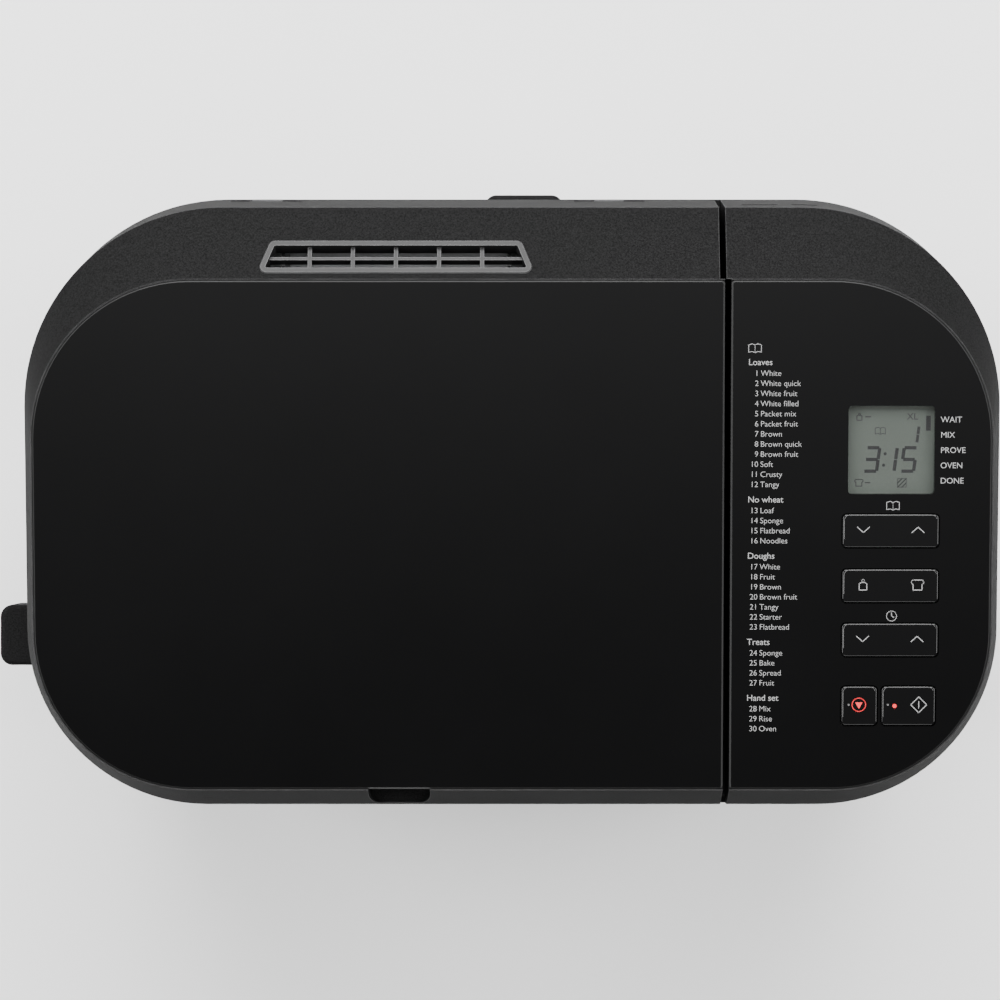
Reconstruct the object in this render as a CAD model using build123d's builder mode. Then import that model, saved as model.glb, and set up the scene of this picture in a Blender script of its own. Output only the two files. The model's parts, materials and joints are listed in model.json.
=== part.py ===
from build123d import *
import os
from math import atan2, cos, degrees, radians, sin

os.makedirs("parts", exist_ok=True)

# A two-column bread machine. The left column is the oven with its hinged lid, the right column
# holds the motor, the boards and the keys. Millimetres, +Z up, +X to the user's right, -Y to the
# front. The model is drawn about the middle of the casing, with the table at z = 0.

# ---------------------------------------------------------------- driving dimensions
# casing
total_height = 362.0
body_width = 392.0
body_depth = 247.0
front_corner = 72.0
rear_corner = 80.0
casing_wall = 3.0
skirt_inset = 4.0            # how far the casing draws in at its lower edge, each side
skirt_bottom = 6.0
crown_height = 51.5          # from the deck to the ridge
deck_thickness = 4.0
ledge_width = 6.0
lid_gap = 1.0                # between the deck and the closed lid
part_gap = 2.6               # between the lid and the control housing
control_width = 108.8        # the control housing, measured from the right side

# crown of the lid and of the control housing
ridge_setback = 35.3         # ridge behind the middle of the rear slope, from the rear face
brow_setback = 7.2           # front edge of the gloss plates, from the front face
brow_drop = 20.0             # the gloss plates fall this far from the ridge to the brow
gloss_inset = 4.0            # gloss plates in from the sides
gloss_corner = 64.0
shoulder_rear_inset = 6.2
shoulder_rear_drop = 11.0
shoulder_front_inset = 0.3
shoulder_front_drop = 39.0
rear_gap_jog = 2.0           # the gap steps to the left behind the ridge
plate_thickness = 3.0
plate_rim = 0.5              # matte rim left round a gloss plate
plate_clearance = 0.1
plate_bevel = 0.7
top_wall = 2.5

# feet, base and chassis
foot_height = 8.0
foot_radius = 14.0
foot_spigot = 4.0
base_thickness = 3.0
base_clearance = 0.5
post_radius = 6.0
post_height = 22.0
screw_radius = 2.0
screw_head = 3.6
chassis_level = 44.0         # underside of the chassis plate
chassis_sheet = 2.5
chassis_depth = 150.0

# oven chamber
chamber_width = 230.0
chamber_depth = 190.0
chamber_corner = 22.0
chamber_side_margin = 35.0   # casing's left face to the chamber
chamber_floor = 80.0
chamber_sheet = 1.0
chamber_flange = 10.0
deck_lip = 2.0               # the deck covers this much of the chamber's rim
shield_gap = 14.0
shield_sheet = 1.0
shield_bottom = 50.0
shield_corner = 33.0         # added to the chamber's corner radius
pillar_radius = 5.0

# bread pan and kneader
pan_length = 186.0
pan_breadth = 136.0
pan_corner = 26.0
pan_wall = 1.6
pan_floor_level = 100.0
pan_height = 135.0
pan_draft = 4.0              # the pan narrows by this much at its floor, each side
pan_rim = 4.0
pan_base_radius = 37.0
pan_base_height = 9.0
handle_radius = 2.2
handle_level = 5.0           # handle pivots above the rim
bail_boss_length = 9.0
bail_rise = 3.0              # the bar lies this far above the pivots when the bail is down
grip_length = 68.0
grip_cover = 2.6
shaft_radius = 4.0
running_clearance = 0.05
blade_hub_radius = 8.5
blade_hub_height = 26.0
blade_reach = 42.0
blade_thickness = 3.5
blade_height = 34.0

# drive
driven_radius = 48.0
motor_pulley_radius = 10.0
pulley_width = 14.0
pulley_level = 20.0          # underside of both pulleys
belt_thickness = 2.4
belt_clearance = 0.3
bearing_tube = 15.0
bush_radius = 8.0
bush_length = 10.0
motor_size = 74.0
motor_bore = 22.4
rotor_clearance = 0.4
motor_side_margin = 46.0     # motor shaft to the right of the part line

# lid hinge
hinge_rise = 5.5             # hinge axis above the deck
hinge_inset = 4.3            # hinge axis in front of the rear face
knuckle_width = 12.0
knuckle_clearance = 0.5
ear_width = 8.0
pin_radius = 2.0
hinge_outer_margin = 96.0    # left hinge in from the side, clear of the rounded corner
hinge_inner_margin = 45.0    # right hinge in from the part gap

# vent in the rear slope of the lid
vent_offset = 9.5            # vent to the right of the middle of the lid
vent_front_width = 111.0
vent_rear_width = 100.0
vent_start = 2.2             # down the slope from the ridge
vent_length = 14.4
vent_rim = 2.4
vent_proud = 0.6
vent_ribs = 5
vent_rib_width = 1.6

# controls, measured from the right side and from the ridge
panel_sheet = 3.0
display_width = 34.4
display_depth = 35.3
display_side = 44.8          # middle of the display from the right side
display_back = 68.2          # middle of the display in front of the ridge
key_width = 38.3
key_depth = 13.2
key_rows = (100.6, 122.7, 144.5)
key_side = 44.85
press_row = 171.1
press_depth = 15.6
stop_width = 14.2
start_width = 21.4
press_gap = 1.9
key_proud = 0.8
key_clearance = 0.5
key_body = 5.0
key_flange = 0.7
switch_height = 3.0
board_thickness = 1.6
board_drop = 10.0             # top of the control board below the gloss surface

# bosses on the casing
side_boss_reach = 16.0
side_boss_depth = 25.0
side_boss_y = -55.5
side_boss_top = 292.0
side_boss_height = 34.0
rear_boss_reach = 5.2
rear_boss_width = 33.0
rear_boss_x = 5.0
rear_boss_top = 267.0
rear_boss_height = 46.0
boss_corner = 5.0

# ---------------------------------------------------------------- derived places
side = body_width / 2
rear = body_depth / 2
deck_top = total_height - crown_height
deck_under = deck_top - deck_thickness
lid_bottom = deck_top + lid_gap
base_bottom = foot_height
base_top = foot_height + base_thickness

ridge_y = rear - ridge_setback
brow_y = -rear + brow_setback
gloss_tilt = degrees(atan2(brow_drop, ridge_y - brow_y))
shoulder_rear_y = rear - shoulder_rear_inset
shoulder_front_y = -rear + shoulder_front_inset
shoulder_drop = shoulder_front_drop - shoulder_rear_drop
shoulder_tilt = degrees(atan2(shoulder_drop, shoulder_rear_y - shoulder_front_y))

part_x = side - control_width            # left face of the control housing
lid_x = part_x - part_gap                # right face of the lid
lid_mid = (lid_x - side) / 2

chamber_x = -side + chamber_side_margin + chamber_width / 2
chamber_right = chamber_x + chamber_width / 2
motor_x = part_x + motor_side_margin
chassis_top = chassis_level + chassis_sheet

hinge_y = rear - hinge_inset
hinge_z = deck_top + hinge_rise
hinge_places = (-side + hinge_outer_margin, lid_x - hinge_inner_margin)

# every piece is moved so that the origin is under the middle of the whole outline
origin_x = -side_boss_reach / 2
origin_y = rear_boss_reach / 2


def keep(builder, name):
    """Label one finished piece, bring it to the shared origin and write it."""
    piece = builder.part.moved(Location((-origin_x, -origin_y, 0)))
    piece.label = name
    export_step(piece, f"parts/{name}.step")


def rounded_outline(width, front_y, rear_y, front_radius, rear_radius):
    """Draw a rectangle whose front and rear corners have their own radii."""
    with Locations((0, (front_y + rear_y) / 2)):
        Rectangle(width, rear_y - front_y)
    fillet(vertices().group_by(Axis.Y)[0], front_radius)
    fillet(vertices().group_by(Axis.Y)[-1], rear_radius)


def casing_outline(inset):
    """Draw the casing's outline, drawn in by inset."""
    rounded_outline(body_width - 2 * inset, -rear + inset, rear - inset,
                    front_corner - inset, rear_corner - inset)


def tilted_plane(y, z, tilt):
    """Return a plane that falls towards the front by tilt, with its origin on the point y, z."""
    return Plane(origin=(0, y, z), x_dir=(1, 0, 0), z_dir=(0, -sin(radians(tilt)), cos(radians(tilt))))


gloss_plane = tilted_plane(ridge_y, total_height, gloss_tilt)
gloss_length = (ridge_y - brow_y) / cos(radians(gloss_tilt))
shoulder_plane = tilted_plane(shoulder_rear_y, total_height - shoulder_rear_drop, shoulder_tilt)
shoulder_length = (shoulder_rear_y - shoulder_front_y) / cos(radians(shoulder_tilt))
slope_tilt = degrees(atan2(shoulder_rear_drop, shoulder_rear_y - ridge_y))
slope_plane = tilted_plane(ridge_y, total_height, -slope_tilt)


def plate_outline(inset):
    """Draw the outline of both gloss plates together, drawn in by inset."""
    rounded_outline(2 * (side - gloss_inset - inset), inset - gloss_length, -inset,
                    gloss_corner - inset, gloss_corner - inset)


def crown(bottom, inset, plate_drop):
    """Loft the crown from a flat foot over the tilted shoulder to the tilted gloss plane."""
    with BuildSketch(Plane.XY.offset(bottom)) as foot:
        casing_outline(inset)
    with BuildSketch(shoulder_plane.offset(-0.7 * inset)) as shoulder:
        rounded_outline(body_width - 2 * inset, inset - shoulder_length, -inset,
                        front_corner - inset, rear_corner - inset)
    with BuildSketch(gloss_plane.offset(-plate_drop)) as brow:
        plate_outline(1.5 * inset)
    loft([foot.sketch.face(), shoulder.sketch.face(), brow.sketch.face()], ruled=True)


def cut_beyond(edge_x, towards):
    """Cut away what lies beyond the part line, which steps to the left behind the ridge."""
    far_x = edge_x + towards * 2 * body_width
    with BuildSketch(Plane.XY) as beyond:
        Polygon((edge_x, -body_depth), (edge_x, ridge_y), (edge_x - rear_gap_jog, ridge_y),
                (edge_x - rear_gap_jog, body_depth), (far_x, body_depth), (far_x, -body_depth), align=None)
    extrude(beyond.sketch, amount=2 * total_height, mode=Mode.SUBTRACT)


def centred_rounded(x, y, width, depth, radius):
    """Draw a rectangle with four equal corners about a point."""
    with Locations((x, y)):
        RectangleRounded(width, depth, radius)


# ---------------------------------------------------------------- casing
with BuildPart() as casing_block:
    with BuildSketch(Plane.XY.offset(skirt_bottom)):
        casing_outline(skirt_inset)
    with BuildSketch(Plane.XY.offset(deck_top)):
        casing_outline(0)
    loft(ruled=True)

post_inset = skirt_inset + casing_wall + post_radius - 1.0
post_places = [(across * (side - post_inset), along) for across in (-1, 1) for along in (-42.0, 38.0)]
post_places += [(chamber_x, across * (rear - post_inset)) for across in (-1, 1)]

slot_rows = 9
slot_pitch = 7.0
slot_length = 34.0
slot_height = 2.6
gland_x = side - 96.0
gland_z = 40.0
gland_radius = 8.0

with BuildPart() as body_shell:
    add(casing_block.part)
    with BuildSketch(Plane.XY.offset(skirt_bottom)):
        casing_outline(skirt_inset + casing_wall)
    with BuildSketch(Plane.XY.offset(deck_top)):
        casing_outline(casing_wall)
    loft(ruled=True, mode=Mode.SUBTRACT)
    # ledge that carries the deck
    with BuildSketch(Plane.XY.offset(deck_under - 3.0)):
        casing_outline(casing_wall - 1.0)
    extrude(amount=3.0)
    with BuildSketch(Plane.XY.offset(deck_under - 3.0)):
        casing_outline(casing_wall + ledge_width)
    extrude(amount=3.0, mode=Mode.SUBTRACT)
    # screw posts
    with BuildSketch(Plane.XY.offset(base_top)):
        with Locations(*post_places):
            Circle(post_radius)
    extrude(amount=post_height)
    with BuildSketch(Plane.XY.offset(base_top)):
        with Locations(*post_places):
            Circle(screw_radius)
    extrude(amount=post_height - 2.0, mode=Mode.SUBTRACT)
    # cooling slots low on the right side
    with BuildSketch(Plane.YZ.offset(side - 20.0)):
        with Locations((10.0, 70.0)):
            with GridLocations(slot_length + 8.0, slot_pitch, 2, slot_rows):
                SlotOverall(slot_length, slot_height)
    extrude(amount=40.0, mode=Mode.SUBTRACT)
    # hole for the cord gland
    with BuildSketch(Plane.XZ.offset(-rear - 10.0)):
        with Locations((gland_x, gland_z)):
            Circle(gland_radius)
    extrude(amount=30.0, mode=Mode.SUBTRACT)
keep(body_shell, "body_shell")

foot_places = [(across * (side - 80.0), along * (rear - 28.0)) for across in (-1, 1) for along in (-1, 1)]
base_outline_inset = skirt_inset + casing_wall + base_clearance
chassis_left = chamber_x - 100.0
chassis_right = side - 18.0
chassis_leg_rows = (chassis_left + 30.0, part_x - 90.0, part_x + 12.0)
chassis_legs = [(x, along * (chassis_depth / 2 + 6.0)) for x in chassis_leg_rows
                for along in (-1, 1)]

with BuildPart() as base_plate:
    with BuildSketch(Plane.XY.offset(base_bottom)):
        casing_outline(base_outline_inset)
        with Locations(*foot_places):
            Circle(foot_spigot + plate_clearance, mode=Mode.SUBTRACT)
        with Locations(*post_places):
            Circle(screw_radius, mode=Mode.SUBTRACT)
        with Locations((motor_x, 0)):
            with GridLocations(8.0, 44.0, 9, 3):
                SlotOverall(32.0, 3.0, rotation=90, mode=Mode.SUBTRACT)
    extrude(amount=base_thickness)
keep(base_plate, "base_plate")

with BuildPart() as rubber_feet:
    with BuildSketch(Plane.XY):
        with Locations(*foot_places):
            Circle(foot_radius - 2.0)
    extrude(amount=foot_height, taper=-12)
    with BuildSketch(Plane.XY.offset(foot_height)):
        with Locations(*foot_places):
            Circle(foot_spigot)
    extrude(amount=base_thickness)
    with BuildSketch(Plane.XY.offset(base_top)):
        with Locations(*foot_places):
            Circle(foot_spigot + 1.2)
    extrude(amount=3.0, taper=15)
keep(rubber_feet, "rubber_feet")

with BuildPart() as base_screws:
    with BuildSketch(Plane.XY.offset(base_bottom - 2.2)):
        with Locations(*post_places):
            Circle(screw_head)
    extrude(amount=2.2)
    with BuildSketch(Plane.XY.offset(base_bottom)):
        with Locations(*post_places):
            Circle(screw_radius - plate_clearance)
    extrude(amount=base_thickness + post_height - 4.0)
    with BuildSketch(Plane.XY.offset(base_bottom - 2.2)):
        with Locations(*post_places):
            Rectangle(4.6, 1.0)
            Rectangle(1.0, 4.6)
    extrude(amount=1.2, mode=Mode.SUBTRACT)
keep(base_screws, "base_screws")

with BuildPart() as cord_gland:
    gland_face = rear - skirt_inset * (deck_top - gland_z) / (deck_top - skirt_bottom)
    with BuildSketch(Plane.XZ.offset(-gland_face - 3.0)):
        with Locations((gland_x, gland_z)):
            Circle(gland_radius - plate_clearance)
    extrude(amount=casing_wall + 9.0)
    with BuildSketch(Plane.XZ.offset(-gland_face - 3.0)):
        with Locations((gland_x, gland_z)):
            Circle(gland_radius + 3.0)
    extrude(amount=2.8)
    with BuildSketch(Plane.XZ.offset(-gland_face - 4.0)):
        with Locations((gland_x, gland_z)):
            Circle(4.0)
    extrude(amount=20.0, mode=Mode.SUBTRACT)
keep(cord_gland, "cord_gland")


def casing_boss(x_range, y_range, z_range):
    """Build a rounded block that stands on the casing, cut to the casing's own face."""
    middle = [(reach[0] + reach[1]) / 2 for reach in (x_range, y_range, z_range)]
    with Locations(tuple(middle)):
        Box(x_range[1] - x_range[0], y_range[1] - y_range[0], z_range[1] - z_range[0])
    fillet(edges().filter_by(Axis.Z), boss_corner)
    fillet(faces().sort_by(Axis.Z)[-1].edges(), 2.0)
    add(casing_block.part, mode=Mode.SUBTRACT)


with BuildPart() as room_sensor_cover:
    casing_boss((-side - side_boss_reach, -side + 14.0),
                (side_boss_y - side_boss_depth / 2, side_boss_y + side_boss_depth / 2),
                (side_boss_top - side_boss_height, side_boss_top))
    with BuildSketch(Plane.XZ.offset(-side_boss_y - side_boss_depth)):
        with Locations((-side - 8.0, side_boss_top - side_boss_height / 2)):
            with GridLocations(5.0, 1.0, 2, 1):
                SlotOverall(20.0, 2.0, rotation=90)
    extrude(amount=2 * side_boss_depth, mode=Mode.SUBTRACT)
keep(room_sensor_cover, "room_sensor_cover")

with BuildPart() as rear_spacer:
    casing_boss((rear_boss_x - rear_boss_width / 2, rear_boss_x + rear_boss_width / 2),
                (rear - 14.0, rear + rear_boss_reach),
                (rear_boss_top - rear_boss_height, rear_boss_top))
keep(rear_spacer, "rear_spacer")

with BuildPart() as top_deck:
    with BuildSketch(Plane.XY.offset(deck_under)):
        casing_outline(casing_wall + plate_clearance)
    extrude(amount=deck_thickness)
    with BuildSketch(Plane.XY.offset(deck_under)):
        centred_rounded(chamber_x, 0, chamber_width - 2 * deck_lip, chamber_depth - 2 * deck_lip,
                        chamber_corner - deck_lip)
    extrude(amount=deck_thickness, mode=Mode.SUBTRACT)
    with BuildSketch(Plane.XY.offset(deck_under)):
        with Locations((part_x + casing_wall + body_width, 0)):
            Rectangle(2 * body_width, 2 * body_depth)
    extrude(amount=deck_thickness, mode=Mode.SUBTRACT)
keep(top_deck, "top_deck")

# ---------------------------------------------------------------- lid
inner_plate_level = lid_bottom + 0.5
inner_plate_sheet = 1.2
tray_width = chamber_width - 40.0
tray_depth = chamber_depth - 42.0
tray_rise = 8.0
lid_screw_places = [(-side + 16.0, -40.0), (-side + 16.0, 40.0),
                    (chamber_right - 7.0, -60.0), (chamber_right - 7.0, 60.0),
                    (chamber_x, -chamber_depth / 2 - 14.0), (chamber_x, chamber_depth / 2 + 14.0)]
lid_screw_radius = 1.5
lid_post_radius = 4.5
ear_radius = hinge_inset - 0.7
edge_sweep = ear_radius + 0.6
notch_width = knuckle_width + 2 * knuckle_clearance
vent_x = lid_mid + vent_offset
scoop_x = vent_x + 0.8
scoop_width = 24.8
scoop_lip = 0.8
scoop_floor = total_height - shoulder_front_drop + 1.0
scoop_reach = 12.0                       # how far a finger goes in under the gloss plate
scoop_wall = 2.0
scoop_roof = total_height - brow_drop - plate_thickness - top_wall - 1.5
gap_corner = 1.5


def vent_outline(inset):
    """Draw the vent's trapezoid on the rear slope, wider at the ridge, drawn in by inset."""
    front_half = vent_front_width / 2
    rear_half = vent_rear_width / 2
    Polygon((vent_x - front_half, vent_start), (vent_x + front_half, vent_start),
            (vent_x + rear_half, vent_start + vent_length),
            (vent_x - rear_half, vent_start + vent_length), align=None)
    fillet(vertices(), 3.0)
    if inset:
        offset(amount=-inset, mode=Mode.REPLACE)


def hinge_circle(radius):
    """Draw a circle round the hinge axis, for a sketch on a plane across the machine."""
    with Locations((hinge_y, hinge_z)):
        Circle(radius)


with BuildPart() as lid_hollow:
    crown(lid_bottom, casing_wall, plate_thickness + top_wall)
    cut_beyond(lid_x - casing_wall, 1)
    with BuildSketch(Plane.XY.offset(inner_plate_level + inner_plate_sheet)):
        with Locations(*lid_screw_places):
            Circle(lid_post_radius)
    extrude(amount=crown_height, mode=Mode.SUBTRACT)
    # solid left round the finger scoop
    with BuildSketch(Plane.XY.offset(scoop_floor - scoop_wall)):
        with Locations((scoop_x, brow_y + scoop_reach + scoop_wall - 25.0)):
            Rectangle(scoop_width + 2 * scoop_wall, 50.0)
    extrude(amount=crown_height, mode=Mode.SUBTRACT)

with BuildPart() as lid_shell:
    crown(lid_bottom, 0, 0)
    cut_beyond(lid_x, 1)
    add(lid_hollow.part, mode=Mode.SUBTRACT)
    # pocket for the gloss plate
    with BuildSketch(gloss_plane):
        plate_outline(plate_rim)
    extrude(amount=-plate_thickness, mode=Mode.SUBTRACT)
    # opening for the vent grille
    with BuildSketch(slope_plane):
        vent_outline(1.0)
    extrude(amount=-12.0, mode=Mode.SUBTRACT)
    # finger scoop under the front edge of the gloss plate
    scoop_front = -rear + shoulder_front_inset + scoop_lip
    scoop_back = brow_y + 0.6
    with BuildSketch(Plane.XY.offset(scoop_floor)):
        with Locations((scoop_x, (scoop_front + scoop_back) / 2)):
            Rectangle(scoop_width, scoop_back - scoop_front)
        fillet(vertices().group_by(Axis.Y)[0], 4.0)
    extrude(amount=crown_height, mode=Mode.SUBTRACT)
    with BuildSketch(Plane.XY.offset(scoop_floor)):
        with Locations((scoop_x, (brow_y + scoop_back + scoop_reach - 1.0) / 2)):
            Rectangle(scoop_width - 2.0, scoop_back + scoop_reach + 1.0 - brow_y)
        fillet(vertices().group_by(Axis.Y)[-1], 4.0)
    extrude(amount=scoop_roof - scoop_floor, mode=Mode.SUBTRACT)
    # screw holes in the posts
    with BuildSketch(Plane.XY.offset(inner_plate_level)):
        with Locations(*lid_screw_places):
            Circle(lid_screw_radius + 0.05)
    extrude(amount=12.0, mode=Mode.SUBTRACT)
    # notches for the knuckles, then the lower rear edge rounded about the hinge axis
    for place in hinge_places:
        with BuildSketch(Plane.YZ.offset(place - notch_width / 2)):
            with Locations((hinge_y + 5.0, hinge_z - 5.0)):
                Rectangle(22.0, 22.0)
        extrude(amount=notch_width, mode=Mode.SUBTRACT)
        for start in (place - notch_width / 2 - ear_width, place + notch_width / 2):
            with BuildSketch(Plane.YZ.offset(start)):
                hinge_circle(ear_radius)
                with Locations((hinge_y + 1.6, hinge_z + 3.0)):
                    Rectangle(3.2, 6.0)
            extrude(amount=ear_width)
            with BuildSketch(Plane.YZ.offset(start)):
                hinge_circle(pin_radius + running_clearance)
            extrude(amount=ear_width, mode=Mode.SUBTRACT)
    with BuildSketch(Plane.YZ.offset(-body_width)):
        with Locations((hinge_y + 10.0, hinge_z - 10.0)):
            Rectangle(20.0, 20.0)
        with Locations((hinge_y, hinge_z)):
            Circle(edge_sweep, mode=Mode.SUBTRACT)
    extrude(amount=2 * body_width, mode=Mode.SUBTRACT)
keep(lid_shell, "lid_shell")


def plate_blank(edge_x, towards):
    """Draw one of the two gloss plates: the joint outline, ended at the part line."""
    plate_outline(plate_rim + plate_clearance)
    with Locations((edge_x - towards * body_width, -gloss_length / 2)):
        Rectangle(2 * body_width, 2 * gloss_length, mode=Mode.INTERSECT)
    fillet(vertices().group_by(Axis.X)[-1 if towards > 0 else 0], gap_corner)


with BuildPart() as lid_top_panel:
    with BuildSketch(gloss_plane.offset(-plate_thickness)):
        plate_blank(lid_x, 1)
    extrude(amount=plate_thickness + 0.2)
    chamfer(faces().sort_by(Axis((0, 0, 0), gloss_plane.z_dir))[-1].edges(), plate_bevel)
keep(lid_top_panel, "lid_top_panel")

with BuildPart() as vent_grille:
    with BuildSketch(slope_plane):
        vent_outline(0)
    extrude(amount=vent_proud)
    chamfer(faces().sort_by(Axis((0, 0, 0), slope_plane.z_dir))[-1].edges(), 0.4)
    with BuildSketch(slope_plane.offset(-7.0)):
        vent_outline(1.1)
    extrude(amount=7.0)
    # open the middle, leaving a sunk row of ribs and one long bar
    with BuildSketch(slope_plane.offset(-7.0)):
        vent_outline(vent_rim)
    extrude(amount=8.0, mode=Mode.SUBTRACT)
    rib_pitch = (vent_front_width - 8.0) / (vent_ribs + 1)
    with BuildSketch(slope_plane.offset(-6.0)):
        with Locations((vent_x, vent_start + vent_length / 2)):
            with GridLocations(rib_pitch, 1.0, vent_ribs, 1):
                Rectangle(vent_rib_width, vent_length - 2.0)
            Rectangle((vent_front_width + vent_rear_width) / 2 - 4.0, 1.3)
    extrude(amount=4.5)
keep(vent_grille, "vent_grille")

duct_front = ridge_y - 4.0
duct_rear = ridge_y + 15.0
with BuildPart() as vent_duct:
    with BuildSketch(Plane.XY.offset(inner_plate_level + inner_plate_sheet)):
        with Locations((vent_x, (duct_front + duct_rear) / 2)):
            Rectangle(vent_rear_width - 8.0, duct_rear - duct_front)
            Rectangle(vent_rear_width - 11.0, duct_rear - duct_front - 3.0, mode=Mode.SUBTRACT)
    extrude(amount=crown_height)
    split(bisect_by=slope_plane.offset(-8.0), keep=Keep.BOTTOM)
    split(bisect_by=gloss_plane.offset(-plate_thickness - top_wall - 0.3), keep=Keep.BOTTOM)
keep(vent_duct, "vent_duct")

with BuildPart() as lid_inner_plate:
    with BuildSketch(Plane.XY.offset(inner_plate_level)):
        casing_outline(casing_wall + 0.4)
        with Locations((0, hinge_y - ear_radius - 2.5 + body_depth)):
            Rectangle(2 * body_width, 2 * body_depth, mode=Mode.SUBTRACT)
        with Locations(*lid_screw_places):
            Circle(lid_screw_radius + 0.05, mode=Mode.SUBTRACT)
        with Locations((vent_x, chamber_depth / 2 - 5.5)):
            with GridLocations(12.0, 1.0, 7, 1):
                Circle(3.2, mode=Mode.SUBTRACT)
    extrude(amount=inner_plate_sheet)
    cut_beyond(lid_x - casing_wall - 0.4, 1)
    # pressed tray over the chamber
    with BuildSketch(Plane.XY.offset(inner_plate_level)):
        centred_rounded(chamber_x, 0, tray_width, tray_depth, chamber_corner)
    extrude(amount=tray_rise + inner_plate_sheet, taper=8)
    with BuildSketch(Plane.XY.offset(inner_plate_level)):
        centred_rounded(chamber_x, 0, tray_width - 2 * inner_plate_sheet,
                        tray_depth - 2 * inner_plate_sheet, chamber_corner - inner_plate_sheet)
    extrude(amount=tray_rise, taper=8, mode=Mode.SUBTRACT)
keep(lid_inner_plate, "lid_inner_plate")

seal_inside = 6.0            # seal out from the chamber's walls
seal_width = 4.0
seal_gap = 0.35              # between the seal and the deck with the lid shut
seal_narrowing = 4.0         # keeps the seal's ends clear of the part gap
seal_outside = seal_inside + seal_width
with BuildPart() as lid_seal:
    with BuildSketch(Plane.XY.offset(deck_top + seal_gap)):
        centred_rounded(chamber_x, 0, chamber_width + 2 * seal_outside - seal_narrowing,
                        chamber_depth + 2 * seal_outside, chamber_corner + seal_outside)
    extrude(amount=inner_plate_level - deck_top - seal_gap)
    with BuildSketch(Plane.XY.offset(deck_top + seal_gap)):
        centred_rounded(chamber_x, 0, chamber_width + 2 * seal_inside - seal_narrowing,
                        chamber_depth + 2 * seal_inside, chamber_corner + seal_inside)
    extrude(amount=inner_plate_level - deck_top - 0.35, mode=Mode.SUBTRACT)
keep(lid_seal, "lid_seal")

with BuildPart() as lid_screws:
    with BuildSketch(Plane.XY.offset(inner_plate_level - 1.0)):
        with Locations(*lid_screw_places):
            Circle(3.2)
    extrude(amount=1.0)
    with BuildSketch(Plane.XY.offset(inner_plate_level)):
        with Locations(*lid_screw_places):
            Circle(lid_screw_radius)
    extrude(amount=10.0)
keep(lid_screws, "lid_screws")

# ---------------------------------------------------------------- hinge
bracket_foot = 5.6
with BuildPart() as hinge_brackets:
    for place in hinge_places:
        with BuildSketch(Plane.YZ.offset(place - knuckle_width / 2)):
            hinge_circle(ear_radius)
            with Locations((hinge_y, hinge_z - hinge_rise / 2)):
                Rectangle(2 * ear_radius, hinge_rise)
            with Locations((hinge_y - bracket_foot / 2, deck_top + 0.9)):
                Rectangle(bracket_foot, 1.8)
            with Locations((hinge_y, hinge_z)):
                Circle(pin_radius, mode=Mode.SUBTRACT)
        extrude(amount=knuckle_width)
    # the part behind the deck's edge stops at the casing's wall
    with BuildSketch(Plane.XY.offset(deck_top - 1.0)):
        casing_outline(0.6)
    extrude(amount=2 * hinge_rise + 10.0, mode=Mode.INTERSECT)
keep(hinge_brackets, "hinge_brackets")

pin_length = notch_width + 2 * ear_width
with BuildPart() as hinge_pins:
    for place in hinge_places:
        with BuildSketch(Plane.YZ.offset(place - pin_length / 2)):
            hinge_circle(pin_radius)
        extrude(amount=pin_length)
keep(hinge_pins, "hinge_pins")

# ---------------------------------------------------------------- control housing
with BuildPart() as control_hollow:
    crown(deck_top - 1.0, casing_wall, plate_thickness + top_wall)
    cut_beyond(part_x + casing_wall, -1)

with BuildPart() as control_cover:
    crown(deck_top, 0, 0)
    cut_beyond(part_x, -1)
    add(control_hollow.part, mode=Mode.SUBTRACT)
    with BuildSketch(gloss_plane):
        plate_outline(plate_rim)
    extrude(amount=-plate_thickness, mode=Mode.SUBTRACT)
    # window under the panel for the keys, the display and the boards
    with BuildSketch(gloss_plane):
        plate_outline(5.0)
        with Locations((part_x + 9.0 + body_width, -gloss_length / 2)):
            Rectangle(2 * body_width, 2 * gloss_length, mode=Mode.INTERSECT)
    extrude(amount=-20.0, mode=Mode.SUBTRACT)
    # two small slots in the rear face
    with BuildSketch(Plane.XZ.offset(-rear - 1.0)):
        with Locations((part_x + 12.5, deck_top + 27.0)):
            SlotOverall(15.0, 4.5)
        with Locations((part_x + 30.5, deck_top + 27.0)):
            SlotOverall(11.0, 4.5)
    extrude(amount=14.0, mode=Mode.SUBTRACT)
keep(control_cover, "control_cover")

# places on the gloss plane: x to the right, y measured back along the slope from the ridge
display_at = (side - display_side, -display_back)
key_places = [(side - key_side, -row) for row in key_rows]
press_left = side - key_side - key_width / 2
stop_at = (press_left + stop_width / 2, -press_row)
start_at = (press_left + stop_width + press_gap + start_width / 2, -press_row)
press_places = [(stop_at, stop_width), (start_at, start_width)]
key_corner = 2.0

with BuildPart() as control_panel:
    with BuildSketch(gloss_plane.offset(-panel_sheet)):
        plate_blank(part_x, -1)
    extrude(amount=panel_sheet + 0.2)
    chamfer(faces().sort_by(Axis((0, 0, 0), gloss_plane.z_dir))[-1].edges(), plate_bevel)
    with BuildSketch(gloss_plane.offset(-panel_sheet)):
        with Locations(display_at):
            RectangleRounded(display_width, display_depth, 1.5)
        with Locations(*key_places):
            RectangleRounded(key_width + 2 * key_clearance, key_depth + 2 * key_clearance, key_corner)
        for place, width in press_places:
            with Locations(place):
                RectangleRounded(width + 2 * key_clearance, press_depth + 2 * key_clearance, key_corner)
    extrude(amount=panel_sheet + 1.0, mode=Mode.SUBTRACT)
keep(control_panel, "control_panel")

with BuildPart() as display_window:
    with BuildSketch(gloss_plane.offset(-panel_sheet)):
        with Locations(display_at):
            RectangleRounded(display_width - 2 * plate_clearance, display_depth - 2 * plate_clearance, 1.4)
    extrude(amount=panel_sheet)
keep(display_window, "display_window")

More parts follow.
